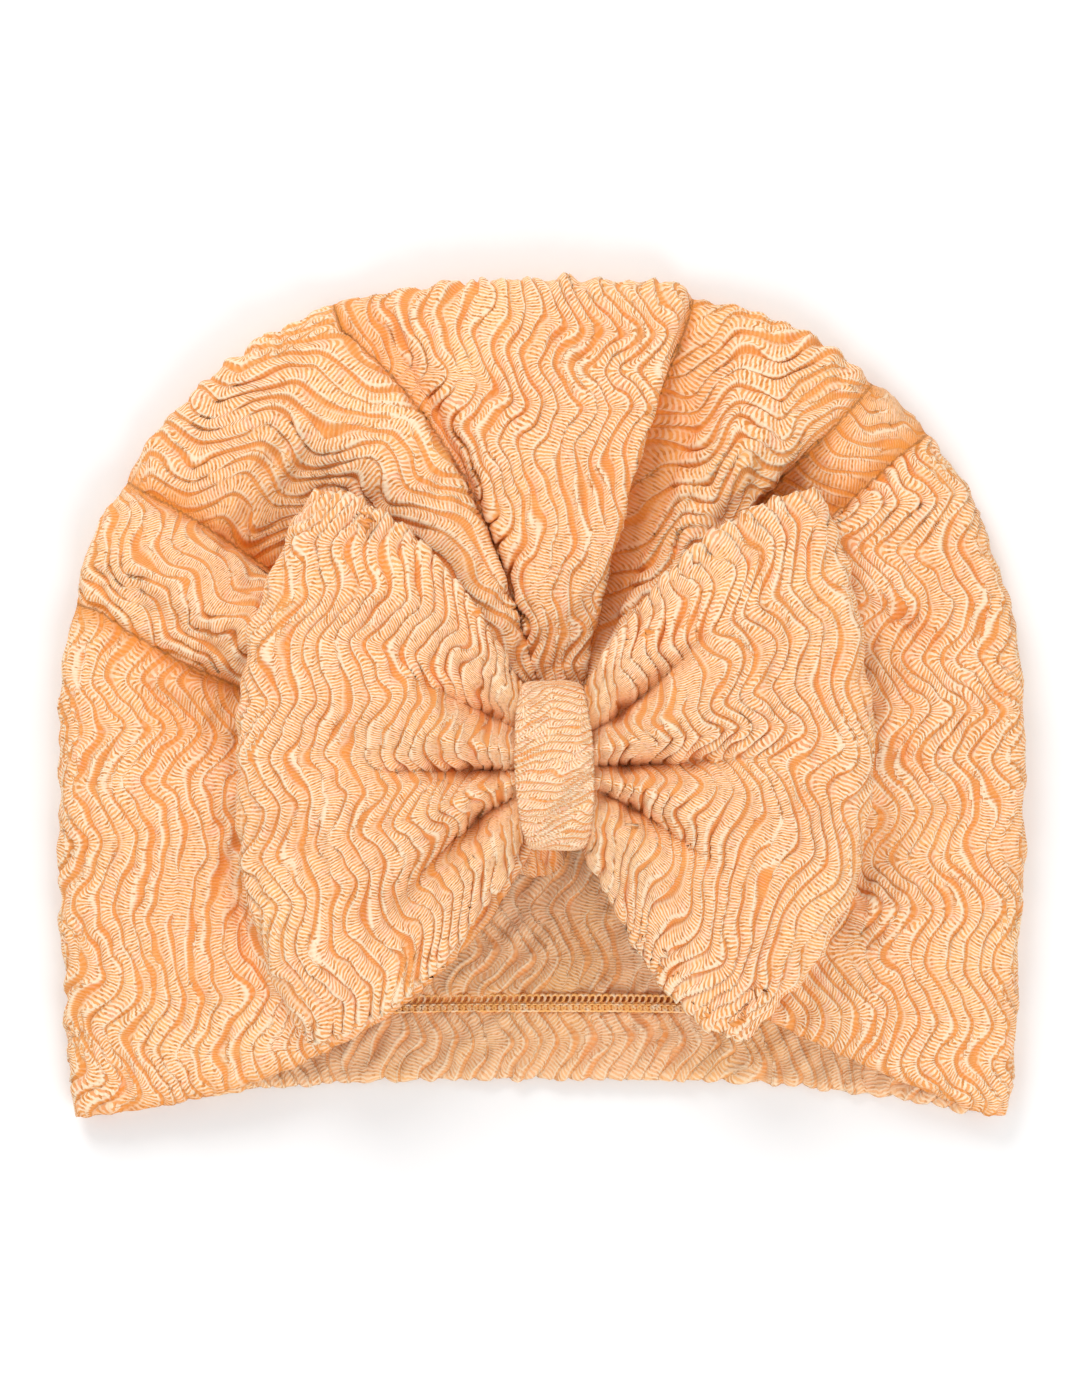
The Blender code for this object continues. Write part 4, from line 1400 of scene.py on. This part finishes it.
def knit_material(name, colours, sizes, contrast=1.0, rose=1.0, fold_shade_strength=1.1, paler=0.0):
    """Melange rib knit: stitches across each rib, a painted highlight on the lip along it, and
    painted orange shade in the groove, the folds and the holes.
    """
    tree = Tree(name)
    knit = read_knit(tree, sizes)
    colour = yarn_colour(tree, knit, colours, contrast, rose, paler)
    colour = shade_yarn(tree, knit, colour, colours, contrast, fold_shade_strength)
    # Painted shade: the holes between the stitches darkened towards a darker orange.
    holes = tree.product(tree.above(knit.holes, 0.55, 9.0), tree.calc("SUBTRACT", 1.0, knit.stitch))
    holes = tree.product(holes, knit.body, 0.90 * contrast)
    colour = tree.mix(holes, colour, [HOLE_SHADE * value for value in colours.orange])
    tree.feed(tree.shader.inputs["Base Color"], colour)

    height = tree.calc("ADD", tree.product(knit.line, 0.45), tree.product(knit.stitch, 0.20))
    height = tree.calc("SUBTRACT", height, tree.product(knit.groove, 0.35))
    height = tree.calc("SUBTRACT", height, tree.product(holes, 0.25))
    height = tree.calc("ADD", height, tree.product(knit.jitter, 0.15))
    tree.bump(height, 0.7, STITCH_RELIEF)
    tree.feed(tree.shader.inputs["Roughness"], 0.82)
    tree.feed(tree.shader.inputs["Specular IOR Level"], 0.12)
    tree.feed(tree.shader.inputs["Specular Tint"], colours.cream)
    tree.feed(tree.shader.inputs["Sheen Weight"], 0.08)
    tree.feed(tree.shader.inputs["Sheen Tint"], colours.cream)
    tree.feed(tree.shader.inputs["Sheen Roughness"], 0.5)
    return tree.material


def cap_material(context):
    """The knit of the cap and its bow."""
    colours, sizes = context.scene.turban_colours, context.scene.turban_sizes
    return bpy.data.materials.get("cap_knit") or knit_material("cap_knit", colours, sizes)


def back_material(context):
    """The knit of the back layer, which shows in the mouth: paler, as its inner face and as painted
    light that lifts the shade there, with weaker painted highlights and shade.
    """
    colours, sizes = context.scene.turban_colours, context.scene.turban_sizes
    return knit_material("back_knit", colours, sizes, contrast=0.65, rose=0.3, paler=0.30)


def band_material(context):
    """The knit of the band, stretched and so paler, with more rose."""
    colours, sizes = context.scene.turban_colours, context.scene.turban_sizes
    return knit_material("band_cloth", colours, sizes, rose=2.1, fold_shade_strength=0.0, paler=0.30)


def thread_material(context):
    """Seam thread: orange, with painted glints of cream along it."""
    colours = context.scene.turban_colours
    tree = Tree("seam_thread")
    place = tree.nodes.new("ShaderNodeTexCoord").outputs["Object"]
    grain = tree.noise(place, THREAD_SCALE, 2.0)
    # Painted highlight: cream glints where the noise is high; the same noise bumps the thread.
    colour = tree.mix(tree.above(grain, 0.45, 4.0), colours.thread, colours.cream)
    tree.feed(tree.shader.inputs["Base Color"], colour)
    tree.bump(grain, 0.6, THREAD_RELIEF)
    tree.feed(tree.shader.inputs["Roughness"], 0.55)
    return tree.material


# The braid of thread along the hem


def make_hem_stitch(context):
    """The braid of thread along the back layer's hem: one link, repeated in two slanting rows."""
    sizes = context.scene.turban_sizes
    link = make_link(sizes)
    rim, _ = inset_outline(SIDE_FOLD_REACH + UNDER_RUN)
    hem = hem_points(rim)
    reach = hem[-1, 0] - SEAM_END_GAP
    count = int(2 * reach / sizes.stitch_length)
    copies = []
    for x in np.linspace(-reach, reach, count):
        y = float(np.interp(x, hem[:, 0], hem[:, 1])) + HEM_WIDTH
        for row, rise, turn in ((SEAM_ROW, 0.0, 0.0), (-SEAM_ROW, HEM_STEP, -2 * LINK_SLANT)):
            copy = link.copy()
            copy.data = link.data.copy()
            bpy.context.scene.collection.objects.link(copy)
            copy.location = (x, y + row, sizes.cloth + SEAM_HEIGHT + rise)
            copy.rotation_euler.z = turn
            copies.append(copy)
    bpy.data.objects.remove(link)
    only_select(*copies)
    bpy.ops.object.join()
    bpy.ops.object.transform_apply(location=True, rotation=True, scale=True)
    braid = bpy.context.active_object
    braid.name = "hem_stitch"
    braid.data.name = "hem_stitch"
    finish_piece(braid, thread_material(context), "cap_shell")
    return braid


def make_link(sizes):
    """One link of the braid at the origin: a ring of thread, made oblong, tilted and slanted."""
    origin = (0.0, 0.0, 0.0)
    bpy.ops.object.select_all(action="DESELECT")
    bpy.ops.mesh.primitive_torus_add(
        location=origin,
        major_segments=12,
        minor_segments=5,
        major_radius=sizes.stitch_length * LINK_RADIUS,
        minor_radius=sizes.thread / 2,
    )
    bpy.ops.object.mode_set(mode="EDIT")
    bpy.ops.mesh.select_all(action="SELECT")
    bpy.ops.transform.resize(value=LINK_SHAPE, center_override=origin)
    bpy.ops.transform.rotate(value=LINK_TILT, orient_axis="Y", center_override=origin)
    bpy.ops.transform.rotate(value=LINK_SLANT, orient_axis="Z", center_override=origin)
    bpy.ops.object.mode_set(mode="OBJECT")
    return bpy.context.active_object


# The stage


def add_soft_light(name, place, size, power):
    """A round area light that faces the cap's middle."""
    light = bpy.data.lights.new(name, "AREA")
    light.shape = "DISK"
    light.size = size
    light.energy = power
    lamp = bpy.data.objects.new(name, light)
    bpy.context.scene.collection.objects.link(lamp)
    lamp.location = place
    lamp.rotation_euler = (-Vector(place)).to_track_quat("-Z", "Y").to_euler()
    return lamp


def make_floor():
    """The white floor under the cap."""
    bpy.ops.object.select_all(action="DESELECT")
    bpy.ops.mesh.primitive_plane_add(size=FLOOR_SIZE, location=(0.0, 0.0, 0.0))
    floor = bpy.context.active_object
    floor.name = "floor"
    material = bpy.data.materials.new("white_floor")
    material.use_nodes = True
    shader = material.node_tree.nodes["Principled BSDF"]
    shader.inputs["Base Color"].default_value = (0.95, 0.95, 0.95, 1.0)
    shader.inputs["Roughness"].default_value = 0.9
    shader.inputs["Specular IOR Level"].default_value = 0.1
    floor.data.materials.append(material)
    return floor


def make_camera(context):
    """The camera, straight above the cap."""
    camera_data = bpy.data.cameras.new("camera")
    camera_data.sensor_fit = "VERTICAL"
    camera_data.sensor_height = SENSOR_HEIGHT
    camera_data.lens = SENSOR_HEIGHT * CAMERA_HEIGHT / FIELD_HEIGHT
    camera = bpy.data.objects.new("camera", camera_data)
    context.scene.collection.objects.link(camera)
    camera.location = (*CAMERA_AIM, CAMERA_HEIGHT + CAP_TOP / 2)
    context.scene.camera = camera


def make_stage(context):
    """A white floor, a white room, two soft lights and the camera."""
    make_floor()
    world = bpy.data.worlds.new("white_room")
    context.scene.world = world
    world.use_nodes = True
    sky = world.node_tree.nodes["Background"]
    sky.inputs["Color"].default_value = (1.0, 1.0, 1.0, 1.0)
    sky.inputs["Strength"].default_value = ROOM_LIGHT
    add_soft_light("window", WINDOW_PLACE, WINDOW_SIZE, WINDOW_POWER)
    add_soft_light("fill", FILL_PLACE, FILL_SIZE, FILL_POWER)
    make_camera(context)
    context.scene.view_settings.view_transform = "Standard"


# Operators, panel and registration


class OBJECT_OT_turban_stage(bpy.types.Operator):
    """Makes the floor, the light and the camera"""

    bl_idname = "object.turban_stage"
    bl_label = "Stage"

    def execute(self, context):
        make_stage(context)
        return {"FINISHED"}


class OBJECT_OT_turban_back(bpy.types.Operator):
    """Makes the flat back layer with its hem"""

    bl_idname = "object.turban_back"
    bl_label = "Back layer"

    def execute(self, context):
        make_back(context)
        return {"FINISHED"}


class OBJECT_OT_turban_hem_stitch(bpy.types.Operator):
    """Makes the braid of thread along the hem"""

    bl_idname = "object.turban_hem_stitch"
    bl_label = "Hem stitch"

    def execute(self, context):
        make_hem_stitch(context)
        return {"FINISHED"}


class OBJECT_OT_turban_front(bpy.types.Operator):
    """Makes the pleated front layer with its side fold"""

    bl_idname = "object.turban_front"
    bl_label = "Front layer"

    def execute(self, context):
        make_front(context)
        return {"FINISHED"}


class OBJECT_OT_turban_bow(bpy.types.Operator):
    """Makes the bow's two loops"""

    bl_idname = "object.turban_bow"
    bl_label = "Bow"

    def execute(self, context):
        for loop in LOOPS:
            make_loop(context, loop)
        return {"FINISHED"}


class OBJECT_OT_turban_tuft(bpy.types.Operator):
    """Makes the bunch of cloth under the band"""

    bl_idname = "object.turban_tuft"
    bl_label = "Bunch under the band"

    def execute(self, context):
        make_tuft(context)
        return {"FINISHED"}


class OBJECT_OT_turban_band(bpy.types.Operator):
    """Makes the band round the knot"""

    bl_idname = "object.turban_band"
    bl_label = "Knot band"

    def execute(self, context):
        make_band(context)
        return {"FINISHED"}


OPERATORS = (
    OBJECT_OT_turban_stage,
    OBJECT_OT_turban_back,
    OBJECT_OT_turban_hem_stitch,
    OBJECT_OT_turban_front,
    OBJECT_OT_turban_bow,
    OBJECT_OT_turban_tuft,
    OBJECT_OT_turban_band,
)


class VIEW3D_PT_turban_cap(bpy.types.Panel):
    """The cap's sizes, its colours and the steps that make it"""

    bl_label = "Turban cap"
    bl_space_type = "VIEW_3D"
    bl_region_type = "UI"
    bl_category = "Turban cap"

    def draw(self, context):
        for group in (context.scene.turban_sizes, context.scene.turban_colours):
            box = self.layout.box()
            for name in group.__annotations__:
                box.prop(group, name)
        for operator in OPERATORS:
            self.layout.operator(operator.bl_idname)


CLASSES = (TurbanCapSizes, TurbanCapColours, *OPERATORS, VIEW3D_PT_turban_cap)


def register():
    """Makes the cap's settings and steps known to Blender."""
    for each in CLASSES:
        bpy.utils.register_class(each)
    bpy.types.Scene.turban_sizes = PointerProperty(type=TurbanCapSizes)
    bpy.types.Scene.turban_colours = PointerProperty(type=TurbanCapColours)


def unregister():
    """Takes them away again."""
    del bpy.types.Scene.turban_colours
    del bpy.types.Scene.turban_sizes
    for each in reversed(CLASSES):
        bpy.utils.unregister_class(each)


def main():
    """Makes the stage and the cap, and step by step."""
    register()
    for operator in OPERATORS:
        getattr(bpy.ops.object, operator.bl_idname.split(".")[1])()


if __name__ == "__main__":
    main()
